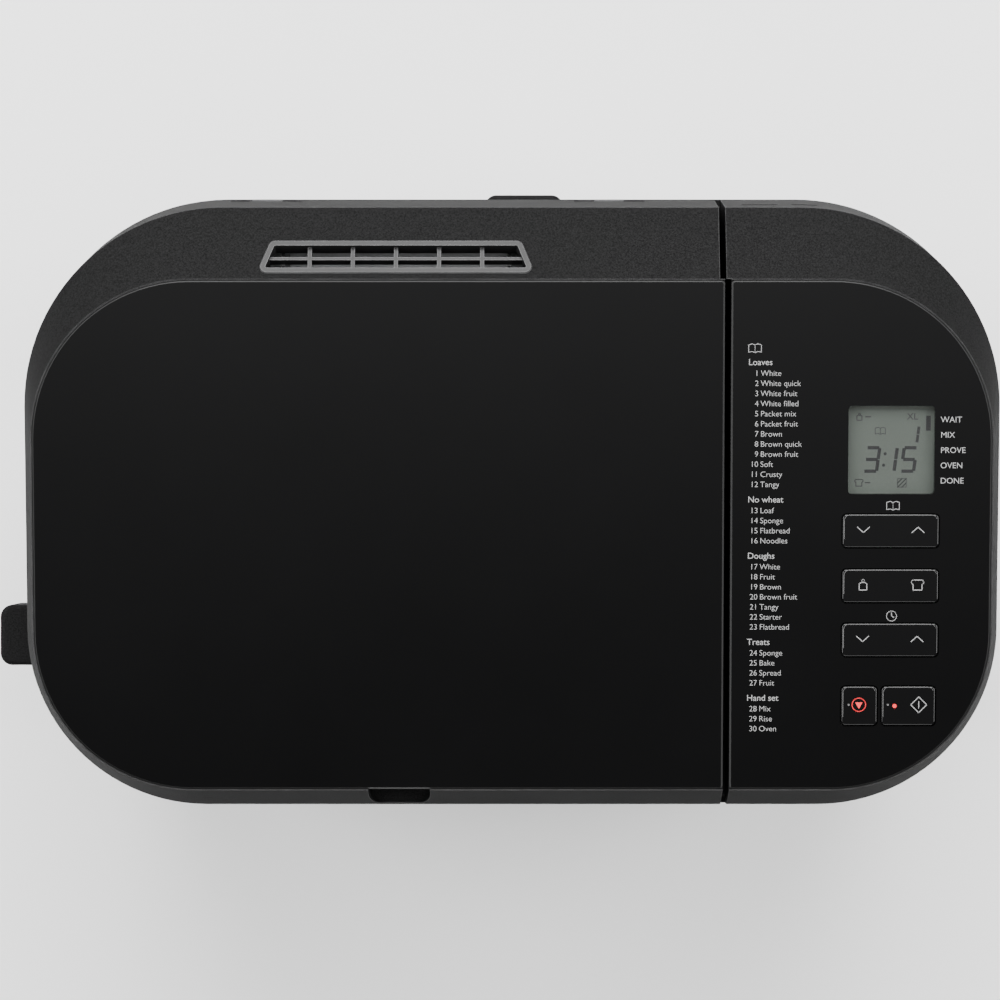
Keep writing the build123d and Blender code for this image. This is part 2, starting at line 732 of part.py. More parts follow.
board_plane = gloss_plane.offset(-board_drop)
with BuildPart() as display_module:
    with BuildSketch(gloss_plane.offset(-panel_sheet - 3.2)):
        with Locations(display_at):
            Rectangle(display_width + 4.0, display_depth + 4.0)
    extrude(amount=3.0)
    with BuildSketch(board_plane):
        with Locations(display_at):
            Rectangle(display_width - 2.0, display_depth - 6.0)
    extrude(amount=board_drop - panel_sheet - 3.2)
keep(display_module, "display_module")

board_left = part_x + 12.0
board_right = side - 22.0
board_front = -gloss_length + 26.0
board_back = -40.0
board_fixings = [(x, y) for x in (board_left + 5.0, board_right - 3.0)
                 for y in (board_front + 6.0, board_back - 5.0)]
with BuildPart() as control_board:
    with BuildSketch(board_plane.offset(-board_thickness)):
        with Locations(((board_left + board_right) / 2, (board_front + board_back) / 2)):
            RectangleRounded(board_right - board_left, board_back - board_front, 3.0)
        with Locations(*board_fixings):
            Circle(1.6, mode=Mode.SUBTRACT)
    extrude(amount=board_thickness)
keep(control_board, "control_board")

rocker_throw = key_width / 2 - 5.0
switch_places = [(x + across * rocker_throw, y) for x, y in key_places for across in (-1, 1)]
switch_places += [stop_at, start_at]
with BuildPart() as key_switches:
    with BuildSketch(board_plane):
        with Locations(*switch_places):
            Rectangle(6.0, 6.0)
    extrude(amount=switch_height)
    with BuildSketch(board_plane.offset(switch_height)):
        with Locations(*switch_places):
            Circle(1.6)
    extrude(amount=0.8)
keep(key_switches, "key_switches")


def key_cap(place, width, depth):
    """Build one key: a cap through the panel with a flange behind it."""
    with BuildSketch(gloss_plane.offset(key_proud - key_body)) as cap:
        with Locations(place):
            RectangleRounded(width, depth, key_corner - key_clearance)
    extrude(cap.sketch, amount=key_body)
    fillet(faces().sort_by(Axis((0, 0, 0), gloss_plane.z_dir))[-1].edges(), 0.5)
    with BuildSketch(gloss_plane.offset(key_proud - key_body - 1.2)) as flange:
        with Locations(place):
            RectangleRounded(width + 2 * key_flange, depth + key_flange, key_corner)
    extrude(flange.sketch, amount=1.2)


for key_name, key_place in zip(("programme_key", "size_key", "timer_key"), key_places):
    with BuildPart() as rocker:
        key_cap(key_place, key_width, key_depth)
    keep(rocker, key_name)

with BuildPart() as stop_key:
    key_cap(stop_at, stop_width, press_depth)
keep(stop_key, "stop_key")

lamp_at = (start_at[0] - 5.5, start_at[1])
with BuildPart() as start_key:
    key_cap(start_at, start_width, press_depth)
    with BuildSketch(gloss_plane.offset(key_proud - key_body - 1.2)):
        with Locations(lamp_at):
            Circle(0.9)
    extrude(amount=key_body + 2.0, mode=Mode.SUBTRACT)
keep(start_key, "start_key")

with BuildPart() as start_lamp:
    with BuildSketch(gloss_plane.offset(key_proud - key_body - 1.2)):
        with Locations(lamp_at):
            Circle(0.85)
    extrude(amount=key_body + 1.2)
keep(start_lamp, "start_lamp")

# ---------------------------------------------------------------- oven chamber
bearing_x = chamber_x
heater_radius = 3.2
heater_level = chamber_floor + 22.0
heater_inset = 11.0
terminal_gap = 24.0
clip_places = [(chamber_x + across * 62.0, along) for across in (-1, 1) for along in (-1, 1)]
sensor_radius = 2.5
sensor_at = (48.0, 160.0)            # y, z where the sensor passes the right wall
pillar_places = [(chamber_x + across * 82.0, along * 58.0) for across in (-1, 1) for along in (-1, 1)]

with BuildPart() as chamber_liner:
    with BuildSketch(Plane.XY.offset(chamber_floor)):
        centred_rounded(chamber_x, 0, chamber_width + 2 * chamber_sheet, chamber_depth + 2 * chamber_sheet,
                        chamber_corner + chamber_sheet)
    extrude(amount=deck_under - chamber_floor)
    with BuildSketch(Plane.XY.offset(chamber_floor + chamber_sheet)):
        centred_rounded(chamber_x, 0, chamber_width, chamber_depth, chamber_corner)
    extrude(amount=deck_under - chamber_floor, mode=Mode.SUBTRACT)
    # flange under the deck
    with BuildSketch(Plane.XY.offset(deck_under - chamber_sheet)):
        centred_rounded(chamber_x, 0, chamber_width + 2 * chamber_flange, chamber_depth + 2 * chamber_flange,
                        chamber_corner + 2 * chamber_flange)
    extrude(amount=chamber_sheet)
    with BuildSketch(Plane.XY.offset(deck_under - chamber_sheet)):
        centred_rounded(chamber_x, 0, chamber_width, chamber_depth, chamber_corner)
    extrude(amount=chamber_sheet, mode=Mode.SUBTRACT)
    with BuildSketch(Plane.XY.offset(chamber_floor)):
        with Locations((bearing_x, 0)):
            Circle(shaft_radius + 3.0)
    extrude(amount=chamber_sheet, mode=Mode.SUBTRACT)
    # holes for the heater's terminals and for the sensor, in the right wall
    with BuildSketch(Plane.YZ.offset(chamber_right - 5.0)):
        with Locations((-terminal_gap / 2, heater_level), (terminal_gap / 2, heater_level)):
            Circle(heater_radius + 0.6)
        with Locations(sensor_at):
            Circle(sensor_radius + 0.1)
    extrude(amount=10.0, mode=Mode.SUBTRACT)
keep(chamber_liner, "chamber_liner")

with BuildPart() as heat_shield:
    shield_out = chamber_sheet + shield_gap + shield_sheet
    shield_in = chamber_sheet + shield_gap
    with BuildSketch(Plane.XY.offset(shield_bottom)):
        centred_rounded(chamber_x, 0, chamber_width + 2 * shield_out, chamber_depth + 2 * shield_out,
                        chamber_corner + shield_corner + shield_sheet)
    extrude(amount=deck_under - shield_bottom)
    with BuildSketch(Plane.XY.offset(shield_bottom)):
        centred_rounded(chamber_x, 0, chamber_width + 2 * shield_in, chamber_depth + 2 * shield_in,
                        chamber_corner + shield_corner)
    extrude(amount=deck_under - shield_bottom, mode=Mode.SUBTRACT)
    with BuildSketch(Plane.YZ.offset(chamber_right + 5.0)):
        with Locations((0, heater_level)):
            SlotOverall(terminal_gap + 20.0, 16.0)
        with Locations(sensor_at):
            Circle(8.0)
    extrude(amount=20.0, mode=Mode.SUBTRACT)
keep(heat_shield, "heat_shield")

with BuildPart() as chamber_pillars:
    with BuildSketch(Plane.XY.offset(chassis_top)):
        with Locations(*pillar_places):
            Circle(pillar_radius)
    extrude(amount=chamber_floor - chassis_top)
keep(chamber_pillars, "chamber_pillars")

heater_x = chamber_width / 2 - heater_inset
heater_y = chamber_depth / 2 - heater_inset
with BuildPart() as heater_element:
    with BuildLine():
        heater_path = FilletPolyline(
            (chamber_right + 12.0, -terminal_gap / 2, heater_level),
            (chamber_x + heater_x, -terminal_gap / 2, heater_level),
            (chamber_x + heater_x, -heater_y, heater_level),
            (chamber_x - heater_x, -heater_y, heater_level),
            (chamber_x - heater_x, heater_y, heater_level),
            (chamber_x + heater_x, heater_y, heater_level),
            (chamber_x + heater_x, terminal_gap / 2, heater_level),
            (chamber_right + 12.0, terminal_gap / 2, heater_level),
            radius=10.0)
    with BuildSketch(Plane(heater_path @ 0, z_dir=heater_path % 0)):
        Circle(heater_radius)
    sweep()
keep(heater_element, "heater_element")

with BuildPart() as heater_clips:
    for x, along in clip_places:
        wall_y = along * chamber_depth / 2
        tube_y = along * heater_y
        with BuildSketch(Plane.XY.offset(heater_level - heater_radius - 2.0)):
            with Locations((x, (wall_y + tube_y - along * (heater_radius + 2.0)) / 2)):
                Rectangle(7.0, abs(wall_y - tube_y) + heater_radius + 2.0)
        extrude(amount=2 * heater_radius + 4.0)
        with BuildSketch(Plane.YZ.offset(x - 3.5)):
            with Locations((tube_y, heater_level)):
                Circle(heater_radius + 0.02)
        extrude(amount=7.0, mode=Mode.SUBTRACT)
keep(heater_clips, "heater_clips")

with BuildPart() as oven_sensor:
    with BuildSketch(Plane.YZ.offset(chamber_right - 12.0)):
        with Locations(sensor_at):
            Circle(sensor_radius)
    extrude(amount=24.0)
    fillet(faces().sort_by(Axis.X)[0].edges(), 2.0)
    with BuildSketch(Plane.YZ.offset(chamber_right + chamber_sheet)):
        with Locations(sensor_at):
            Circle(6.5)
    extrude(amount=1.5)
keep(oven_sensor, "oven_sensor")

seat_inner = pan_base_radius + 0.6
seat_wall = 5.0
with BuildPart() as pan_seat:
    with BuildSketch(Plane.XY.offset(chamber_floor + chamber_sheet)):
        with Locations((bearing_x, 0)):
            Circle(seat_inner + seat_wall)
            Circle(seat_inner, mode=Mode.SUBTRACT)
            with PolarLocations(seat_inner + seat_wall + 3.0, 4, 45.0):
                Circle(6.0)
    extrude(amount=8.0)
    with BuildSketch(Plane.XY.offset(chamber_floor + chamber_sheet)):
        with Locations((bearing_x, 0)):
            Circle(seat_inner)
            with PolarLocations(seat_inner + 1.0, 2):
                Rectangle(5.0, 12.0)
    extrude(amount=8.0, mode=Mode.SUBTRACT)
keep(pan_seat, "pan_seat")

# ---------------------------------------------------------------- bread pan
rim_level = pan_floor_level + pan_height
pivot_level = rim_level + handle_level
ear_x = pan_length / 2 + pan_rim + 1.2
ear_thickness = 2.4


def pan_section(level, length, breadth, corner):
    """Draw the pan's outline about the drive shaft at a height and return it as a face."""
    with BuildSketch(Plane.XY.offset(level)) as section:
        centred_rounded(bearing_x, 0, length, breadth, corner)
    return section.sketch.face()


with BuildPart() as bread_pan:
    loft([pan_section(pan_floor_level, pan_length - 2 * pan_draft, pan_breadth - 2 * pan_draft,
                      pan_corner - 4.0),
          pan_section(rim_level, pan_length, pan_breadth, pan_corner)], ruled=True)
    with BuildSketch(Plane.XY.offset(rim_level - 3.0)):
        centred_rounded(bearing_x, 0, pan_length + 2 * pan_rim, pan_breadth + 2 * pan_rim,
                        pan_corner + pan_rim)
    extrude(amount=3.0)
    loft([pan_section(pan_floor_level + pan_wall, pan_length - 2 * pan_draft - 2 * pan_wall,
                      pan_breadth - 2 * pan_draft - 2 * pan_wall, pan_corner - 4.0 - pan_wall),
          pan_section(rim_level, pan_length - 2 * pan_wall, pan_breadth - 2 * pan_wall,
                      pan_corner - pan_wall)], ruled=True, mode=Mode.SUBTRACT)
    # ears that carry the bail handle
    for across in (-1, 1):
        with BuildSketch(Plane.YZ.offset(bearing_x + across * ear_x - ear_thickness / 2)):
            with Locations((0, rim_level + handle_level / 2 - 2.0)):
                Rectangle(16.0, handle_level + 4.0)
            with Locations((0, pivot_level)):
                Circle(8.0)
        extrude(amount=ear_thickness)
        with BuildSketch(Plane.XY.offset(rim_level - 3.0)):
            with Locations((bearing_x + across * (ear_x - 2.0), 0)):
                Rectangle(6.0, 16.0)
        extrude(amount=3.0)
        with BuildSketch(Plane.YZ.offset(bearing_x + across * ear_x - 4.0)):
            with Locations((0, pivot_level)):
                Circle(handle_radius + running_clearance)
        extrude(amount=8.0, mode=Mode.SUBTRACT)
    with BuildSketch(Plane.XY.offset(pan_floor_level - 5.0)):
        with Locations((bearing_x, 0)):
            Circle(shaft_radius + running_clearance)
    extrude(amount=20.0, mode=Mode.SUBTRACT)
keep(bread_pan, "bread_pan")

base_ring_bottom = pan_floor_level - pan_base_height
with BuildPart() as pan_base:
    with BuildSketch(Plane.XY.offset(base_ring_bottom)):
        with Locations((bearing_x, 0)):
            Circle(pan_base_radius)
            Circle(pan_base_radius - 4.0, mode=Mode.SUBTRACT)
    extrude(amount=pan_base_height)
    with BuildSketch(Plane.XY.offset(pan_floor_level - 3.0)):
        with Locations((bearing_x, 0)):
            Circle(pan_base_radius)
            Circle(shaft_radius + running_clearance, mode=Mode.SUBTRACT)
    extrude(amount=3.0)
keep(pan_base, "pan_base")

# bail: two arms that rise from the pivots and a bar that lies over the front rim when it is down
bail_reach = pan_breadth / 2 - 6.0
bail_x = ear_x + ear_thickness / 2 + handle_radius + 0.6
with BuildPart() as pan_handle:
    with BuildLine():
        bail_path = FilletPolyline(
            (bearing_x - bail_x, -1.0, pivot_level),
            (bearing_x - bail_x, -bail_reach, pivot_level + bail_rise),
            (bearing_x + bail_x, -bail_reach, pivot_level + bail_rise),
            (bearing_x + bail_x, -1.0, pivot_level),
            radius=18.0)
    with BuildSketch(Plane(bail_path @ 0, z_dir=bail_path % 0)):
        Circle(handle_radius)
    sweep()
    for across in (-1, 1):
        boss_start = 0.0 if across < 0 else bail_boss_length
        with BuildSketch(Plane.YZ.offset(bearing_x + across * (bail_x + handle_radius) - boss_start)):
            with Locations((0, pivot_level)):
                Circle(handle_radius)
        extrude(amount=bail_boss_length)
    with BuildSketch(Plane.YZ.offset(bearing_x - grip_length / 2)):
        with Locations((-bail_reach, pivot_level + bail_rise)):
            Circle(handle_radius + grip_cover)
    extrude(amount=grip_length)
keep(pan_handle, "pan_handle")

dog_radius = 15.0
dog_width = 5.0
dog_level = chamber_floor + 3.5
wing_level = dog_level + 3.0
with BuildPart() as kneading_shaft:
    with BuildSketch(Plane.XY.offset(wing_level)):
        with Locations((bearing_x, 0)):
            Circle(shaft_radius)
    extrude(amount=pan_floor_level + pan_wall + blade_hub_height - wing_level - 3.0)
    # wing that the drive coupling turns
    with BuildSketch(Plane.XY.offset(wing_level)):
        with Locations((bearing_x, 0)):
            Circle(shaft_radius + 2.0)
            Rectangle(2 * dog_radius, 4.0)
    extrude(amount=6.0)
    with BuildSketch(Plane.XY.offset(pan_floor_level + pan_wall)):
        with Locations((bearing_x, 0)):
            Circle(shaft_radius + 2.4)
    extrude(amount=1.0)
keep(kneading_shaft, "kneading_shaft")

hub_bottom = pan_floor_level + pan_wall + 1.2
with BuildPart() as kneading_blade:
    with BuildSketch(Plane.XY.offset(hub_bottom)):
        with Locations((bearing_x, 0)):
            Circle(blade_hub_radius)
    extrude(amount=blade_hub_height, taper=4)
    with BuildSketch(Plane.XZ.offset(-blade_thickness / 2)):
        with BuildLine():
            Polyline((bearing_x, hub_bottom), (bearing_x + blade_reach, hub_bottom),
                     (bearing_x + blade_reach - 6.0, hub_bottom + blade_height),
                     (bearing_x + 18.0, hub_bottom + blade_height - 4.0),
                     (bearing_x, hub_bottom + blade_hub_height - 4.0), close=True)
        make_face()
        fillet(vertices().group_by(Axis.X)[-1], 5.0)
        fillet(vertices().group_by(Axis.Y)[-1], 9.0)
    extrude(amount=blade_thickness)
    with BuildSketch(Plane.XY.offset(hub_bottom)):
        with Locations((bearing_x, 0)):
            Circle(shaft_radius)
    extrude(amount=blade_hub_height - 3.0, mode=Mode.SUBTRACT)
keep(kneading_blade, "kneading_blade")

# ---------------------------------------------------------------- drive
bearing_top = chamber_floor - 1.5
bush_levels = (chassis_top + 1.0, bearing_top - bush_length - 1.0)
with BuildPart() as bearing_housing:
    with BuildSketch(Plane.XY.offset(chassis_top)):
        with Locations((bearing_x, 0)):
            RectangleRounded(64.0, 64.0, 10.0)
    extrude(amount=4.0)
    with BuildSketch(Plane.XY.offset(chassis_top + 4.0)):
        with Locations((bearing_x, 0)):
            Circle(bearing_tube)
    extrude(amount=bearing_top - chassis_top - 4.0, taper=3)
    with BuildSketch(Plane.XY.offset(chassis_top)):
        with Locations((bearing_x, 0)):
            Circle(bush_radius)
            with GridLocations(48.0, 48.0, 2, 2):
                Circle(2.2)
    extrude(amount=chamber_floor, mode=Mode.SUBTRACT)
keep(bearing_housing, "bearing_housing")

with BuildPart() as drive_bushes:
    for level in bush_levels:
        with BuildSketch(Plane.XY.offset(level)):
            with Locations((bearing_x, 0)):
                Circle(bush_radius)
                Circle(shaft_radius + running_clearance, mode=Mode.SUBTRACT)
        extrude(amount=bush_length)
keep(drive_bushes, "drive_bushes")

with BuildPart() as drive_shaft:
    with BuildSketch(Plane.XY.offset(pulley_level - 3.0)):
        with Locations((bearing_x, 0)):
            Circle(shaft_radius)
    extrude(amount=chamber_floor + chamber_sheet + 2.0 - pulley_level + 3.0)
keep(drive_shaft, "drive_shaft")

with BuildPart() as drive_coupling:
    coupling_bottom = chamber_floor + chamber_sheet + 0.4
    with BuildSketch(Plane.XY.offset(coupling_bottom)):
        with Locations((bearing_x, 0)):
            Circle(dog_radius + 3.0)
    extrude(amount=wing_level - 0.6 - coupling_bottom)
    with BuildSketch(Plane.XY.offset(wing_level - 0.6)):
        with Locations((bearing_x, 0)):
            for across in (-1, 1):
                with Locations((across * (dog_radius - 3.0), across * (2.0 + 0.5 + dog_width / 2))):
                    Rectangle(7.0, dog_width)
    extrude(amount=5.0)
    with BuildSketch(Plane.XY.offset(coupling_bottom)):
        with Locations((bearing_x, 0)):
            Circle(shaft_radius)
    extrude(amount=chamber_floor + chamber_sheet + 2.0 - coupling_bottom, mode=Mode.SUBTRACT)
keep(drive_coupling, "drive_coupling")


def pulley(x, radius, hub):
    """Build a flanged pulley on its shaft."""
    with BuildSketch(Plane.XY.offset(pulley_level)) as drum:
        with Locations((x, 0)):
            Circle(radius)
    extrude(drum.sketch, amount=pulley_width)
    with BuildSketch(Plane.XY.offset(pulley_level)) as flanges:
        with Locations((x, 0)):
            Circle(radius + 3.0)
    extrude(flanges.sketch, amount=1.5)
    with BuildSketch(Plane.XY.offset(pulley_level + pulley_width - 1.5)) as top_flange:
        with Locations((x, 0)):
            Circle(radius + 3.0)
    extrude(top_flange.sketch, amount=1.5)
    with BuildSketch(Plane.XY.offset(pulley_level + pulley_width)) as boss:
        with Locations((x, 0)):
            Circle(hub)
    extrude(boss.sketch, amount=4.0)
    with BuildSketch(Plane.XY.offset(pulley_level)) as bore:
        with Locations((x, 0)):
            Circle(shaft_radius)
    extrude(bore.sketch, amount=pulley_width + 4.0, mode=Mode.SUBTRACT)


with BuildPart() as driven_pulley:
    pulley(bearing_x, driven_radius, 11.0)
    # web recess and lightening holes
    with BuildSketch(Plane.XY.offset(pulley_level)):
        with Locations((bearing_x, 0)):
            Circle(driven_radius - 5.0)
            Circle(12.0, mode=Mode.SUBTRACT)
    extrude(amount=pulley_width / 2 - 2.0, mode=Mode.SUBTRACT)
    with BuildSketch(Plane.XY.offset(pulley_level)):
        with Locations((bearing_x, 0)):
            with PolarLocations(28.0, 6):
                Circle(8.0)
    extrude(amount=pulley_width, mode=Mode.SUBTRACT)
keep(driven_pulley, "driven_pulley")

with BuildPart() as motor_pulley:
    pulley(motor_x, motor_pulley_radius, 8.0)
keep(motor_pulley, "motor_pulley")

belt_level = pulley_level + 3.0
belt_width = pulley_width - 6.0


def belt_loop(extra):
    """Draw the belt's closed outline round both pulleys at a distance from their drums."""
    big = driven_radius + belt_clearance + extra
    small = motor_pulley_radius + belt_clearance + extra
    span = motor_x - bearing_x
    lean = (big - small) / span
    rise = (1 - lean ** 2) ** 0.5
    with Locations((bearing_x, 0)):
        Circle(big)
    with Locations((motor_x, 0)):
        Circle(small)
    Polygon((bearing_x + big * lean, big * rise), (bearing_x + big * lean, -big * rise),
            (motor_x + small * lean, -small * rise), (motor_x + small * lean, small * rise), align=None)


with BuildPart() as drive_belt:
    with BuildSketch(Plane.XY.offset(belt_level)):
        belt_loop(belt_thickness)
    extrude(amount=belt_width)
    with BuildSketch(Plane.XY.offset(belt_level)):
        belt_loop(0)
    extrude(amount=belt_width, mode=Mode.SUBTRACT)
keep(drive_belt, "drive_belt")

# ---------------------------------------------------------------- chassis and motor
mount_height = 5.0
mount_pitch = 58.0
end_plate_sheet = 3.0
lower_plate = chassis_top + mount_height
stack_bottom = lower_plate + 12.0
stack_height = 34.0
upper_plate = stack_bottom + stack_height + 8.0
mount_places = [(motor_x + across * mount_pitch / 2, along * mount_pitch / 2)
                for across in (-1, 1) for along in (-1, 1)]
bolt_radius = 2.0
bolt_offset = motor_size / 2 - 5.0

with BuildPart() as chassis_frame:
    with BuildSketch(Plane.XY.offset(chassis_level)):
        with Locations(((chassis_left + chassis_right) / 2, 0)):
            RectangleRounded(chassis_right - chassis_left, chassis_depth, 6.0)
        with Locations((bearing_x, 0)):
            Circle(bush_radius, mode=Mode.SUBTRACT)
        with Locations((motor_x, 0)):
            Circle(14.0, mode=Mode.SUBTRACT)
        with Locations(*mount_places):
            Circle(3.0, mode=Mode.SUBTRACT)
    extrude(amount=chassis_sheet)
    # folded walls down to the base plate, with turned-out feet
    for along in (-1, 1):
        wall_y = along * (chassis_depth - chassis_sheet) / 2
        with BuildSketch(Plane.XY.offset(base_top)):
            with Locations(((chassis_left + chassis_right) / 2, wall_y)):
                Rectangle(chassis_right - chassis_left - 16.0, chassis_sheet)
        extrude(amount=chassis_level - base_top)
        with BuildSketch(Plane.XZ.offset(-body_depth)):
            with Locations((bearing_x, base_top + 16.0), (motor_x - 30.0, base_top + 16.0)):
                SlotOverall(60.0, 18.0)
        extrude(amount=2 * body_depth, mode=Mode.SUBTRACT)
    with BuildSketch(Plane.XY.offset(base_top)):
        with Locations(*chassis_legs):
            RectangleRounded(22.0, 14.0, 3.0)
        with Locations(*chassis_legs):
            Circle(2.2, mode=Mode.SUBTRACT)
    extrude(amount=chassis_sheet)
keep(chassis_frame, "chassis_frame")

with BuildPart() as motor_mounts:
    with BuildSketch(Plane.XY.offset(chassis_top)):
        with Locations(*mount_places):
            Circle(6.0)
    extrude(amount=mount_height)
    with BuildSketch(Plane.XY.offset(chassis_level - 3.0)):
        with Locations(*mount_places):
            Circle(2.9)
    extrude(amount=chassis_sheet + 3.0)
    with BuildSketch(Plane.XY.offset(chassis_level - 3.0)):
        with Locations(*mount_places):
            Circle(5.0)
    extrude(amount=3.0)
keep(motor_mounts, "motor_mounts")

with BuildPart() as motor_end_plates:
    with BuildSketch(Plane.XY.offset(lower_plate)):
        with Locations((motor_x, 0)):
            RectangleRounded(motor_size, motor_size, 8.0)
            Circle(shaft_radius + running_clearance, mode=Mode.SUBTRACT)
    extrude(amount=end_plate_sheet)
    with BuildSketch(Plane.XY.offset(lower_plate + end_plate_sheet)):
        with Locations((motor_x, 0)):
            Circle(11.0)
            Circle(shaft_radius + running_clearance, mode=Mode.SUBTRACT)
    extrude(amount=5.0)
    with BuildSketch(Plane.XY.offset(upper_plate)):
        with Locations((motor_x, 0)):
            RectangleRounded(motor_size, 34.0, 6.0)
            Circle(shaft_radius + running_clearance, mode=Mode.SUBTRACT)
    extrude(amount=end_plate_sheet)
    # four tie posts between the plates, outside the windings
    with BuildSketch(Plane.XY.offset(lower_plate + end_plate_sheet)):
        with Locations((motor_x, 0)):
            with GridLocations(2 * bolt_offset, 2 * bolt_offset, 2, 2):
                Circle(bolt_radius + 1.6)
    extrude(amount=stack_bottom - lower_plate - end_plate_sheet)
    with BuildSketch(Plane.XY.offset(stack_bottom + stack_height)):
        with Locations((motor_x, 0)):
            with GridLocations(2 * bolt_offset, 25.0, 2, 2):
                Circle(bolt_radius + 1.6)
    extrude(amount=upper_plate - stack_bottom - stack_height)
keep(motor_end_plates, "motor_end_plates")

with BuildPart() as motor_stator:
    with BuildSketch(Plane.XY.offset(stack_bottom)):
        with Locations((motor_x, 0)):
            RectangleRounded(motor_size, motor_size, 8.0)
            Circle(motor_bore, mode=Mode.SUBTRACT)
    extrude(amount=stack_height)
    # end turns of the windings
    with BuildSketch(Plane.XY.offset(stack_bottom - 7.0)):
        with Locations((motor_x, 0)):
            Circle(motor_bore + 8.0)
            Circle(motor_bore + 1.0, mode=Mode.SUBTRACT)
    extrude(amount=stack_height + 13.0)
keep(motor_stator, "motor_stator")

with BuildPart() as motor_rotor:
    with BuildSketch(Plane.XY.offset(stack_bottom)):
        with Locations((motor_x, 0)):
            Circle(motor_bore - rotor_clearance)
            Circle(shaft_radius, mode=Mode.SUBTRACT)
    extrude(amount=stack_height)
keep(motor_rotor, "motor_rotor")

fan_level = upper_plate + end_plate_sheet + 3.0
with BuildPart() as motor_shaft:
    with BuildSketch(Plane.XY.offset(pulley_level - 3.0)):
        with Locations((motor_x, 0)):
            Circle(shaft_radius)
    extrude(amount=fan_level + 12.0 - pulley_level)
keep(motor_shaft, "motor_shaft")

with BuildPart() as cooling_fan:
    with BuildSketch(Plane.XY.offset(fan_level)):
        with Locations((motor_x, 0)):
            Circle(8.0)
            with PolarLocations(17.0, 8):
                Rectangle(22.0, 1.6)
            Circle(shaft_radius, mode=Mode.SUBTRACT)
    extrude(amount=7.0)
    with BuildSketch(Plane.XY.offset(fan_level)):
        with Locations((motor_x, 0)):
            Circle(28.0)
            Circle(shaft_radius, mode=Mode.SUBTRACT)
    extrude(amount=1.2)
keep(cooling_fan, "cooling_fan")

capacitor_radius = 14.0
capacitor_at = (part_x + 56.0, -rear + 32.0)
with BuildPart() as motor_capacitor:
    with BuildSketch(Plane.XY.offset(base_top)):
        with Locations(capacitor_at):
            Circle(capacitor_radius)
    extrude(amount=46.0)
    fillet(faces().sort_by(Axis.Z)[-1].edges(), 2.0)
    with BuildSketch(Plane.XY.offset(base_top + 46.0)):
        with Locations(capacitor_at):
            with GridLocations(10.0, 1.0, 2, 1):
                Rectangle(1.0, 6.0)
    extrude(amount=8.0)
keep(motor_capacitor, "motor_capacitor")

# ---------------------------------------------------------------- power board
bracket_x = chamber_right + chamber_sheet + shield_gap + shield_sheet + 3.0
bracket_sheet = 1.6
bracket_depth = 110.0
bracket_top = deck_under - 70.0
board_x = bracket_x + bracket_sheet + 4.0
board_bottom = upper_plate + 42.0
board_top = bracket_top - 6.0
board_half = 46.0
board_face = board_x + board_thickness
standoffs = [(y, z) for y in (-board_half + 6.0, board_half - 6.0)
             for z in (board_bottom + 6.0, board_top - 6.0)]

with BuildPart() as board_bracket:
    with BuildSketch(Plane.YZ.offset(bracket_x)):
        with Locations((0, (chassis_top + bracket_top) / 2)):
            Rectangle(bracket_depth, bracket_top - chassis_top)
        with Locations((0, (board_bottom + board_top) / 2)):
            RectangleRounded(60.0, 60.0, 6.0, mode=Mode.SUBTRACT)
        with Locations((0, heater_level)):
            SlotOverall(terminal_gap + 24.0, 20.0, mode=Mode.SUBTRACT)
    extrude(amount=bracket_sheet)
    with BuildSketch(Plane.YZ.offset(bracket_x + bracket_sheet)):
        with Locations(*standoffs):
            Circle(3.5)
    extrude(amount=board_x - bracket_x - bracket_sheet)
keep(board_bracket, "board_bracket")

with BuildPart() as power_board:
    with BuildSketch(Plane.YZ.offset(board_x)):
        with Locations((0, (board_bottom + board_top) / 2)):
            Rectangle(2 * board_half, board_top - board_bottom)
    extrude(amount=board_thickness)
    # smoothing capacitors
    with BuildSketch(Plane.YZ.offset(board_face)):
        with Locations((-22.0, board_top - 22.0), (0.0, board_top - 22.0), (24.0, board_top - 20.0)):
            Circle(6.5)
    extrude(amount=20.0)
keep(power_board, "power_board")


def board_block(y, z, depth, height, rise, corner):
    """Build a block that stands on the power board."""
    with BuildSketch(Plane.YZ.offset(board_face)) as footprint:
        with Locations((y, z)):
            RectangleRounded(depth, height, 1.0)
    extrude(footprint.sketch, amount=rise)
    fillet(faces().sort_by(Axis.X)[-1].edges(), corner)


with BuildPart() as heater_relay:
    board_block(-26.0, board_bottom + 22.0, 20.0, 28.0, 18.0, 0.8)
keep(heater_relay, "heater_relay")

with BuildPart() as transformer:
    board_block(20.0, board_bottom + 26.0, 22.0, 40.0, 20.0, 0.8)
    board_block(20.0, board_bottom + 26.0, 34.0, 28.0, 26.0, 0.8)
keep(transformer, "transformer")
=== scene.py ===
import json
import math

import bmesh
import bpy
from bpy.props import FloatProperty, FloatVectorProperty, PointerProperty
from mathutils import Matrix, Vector


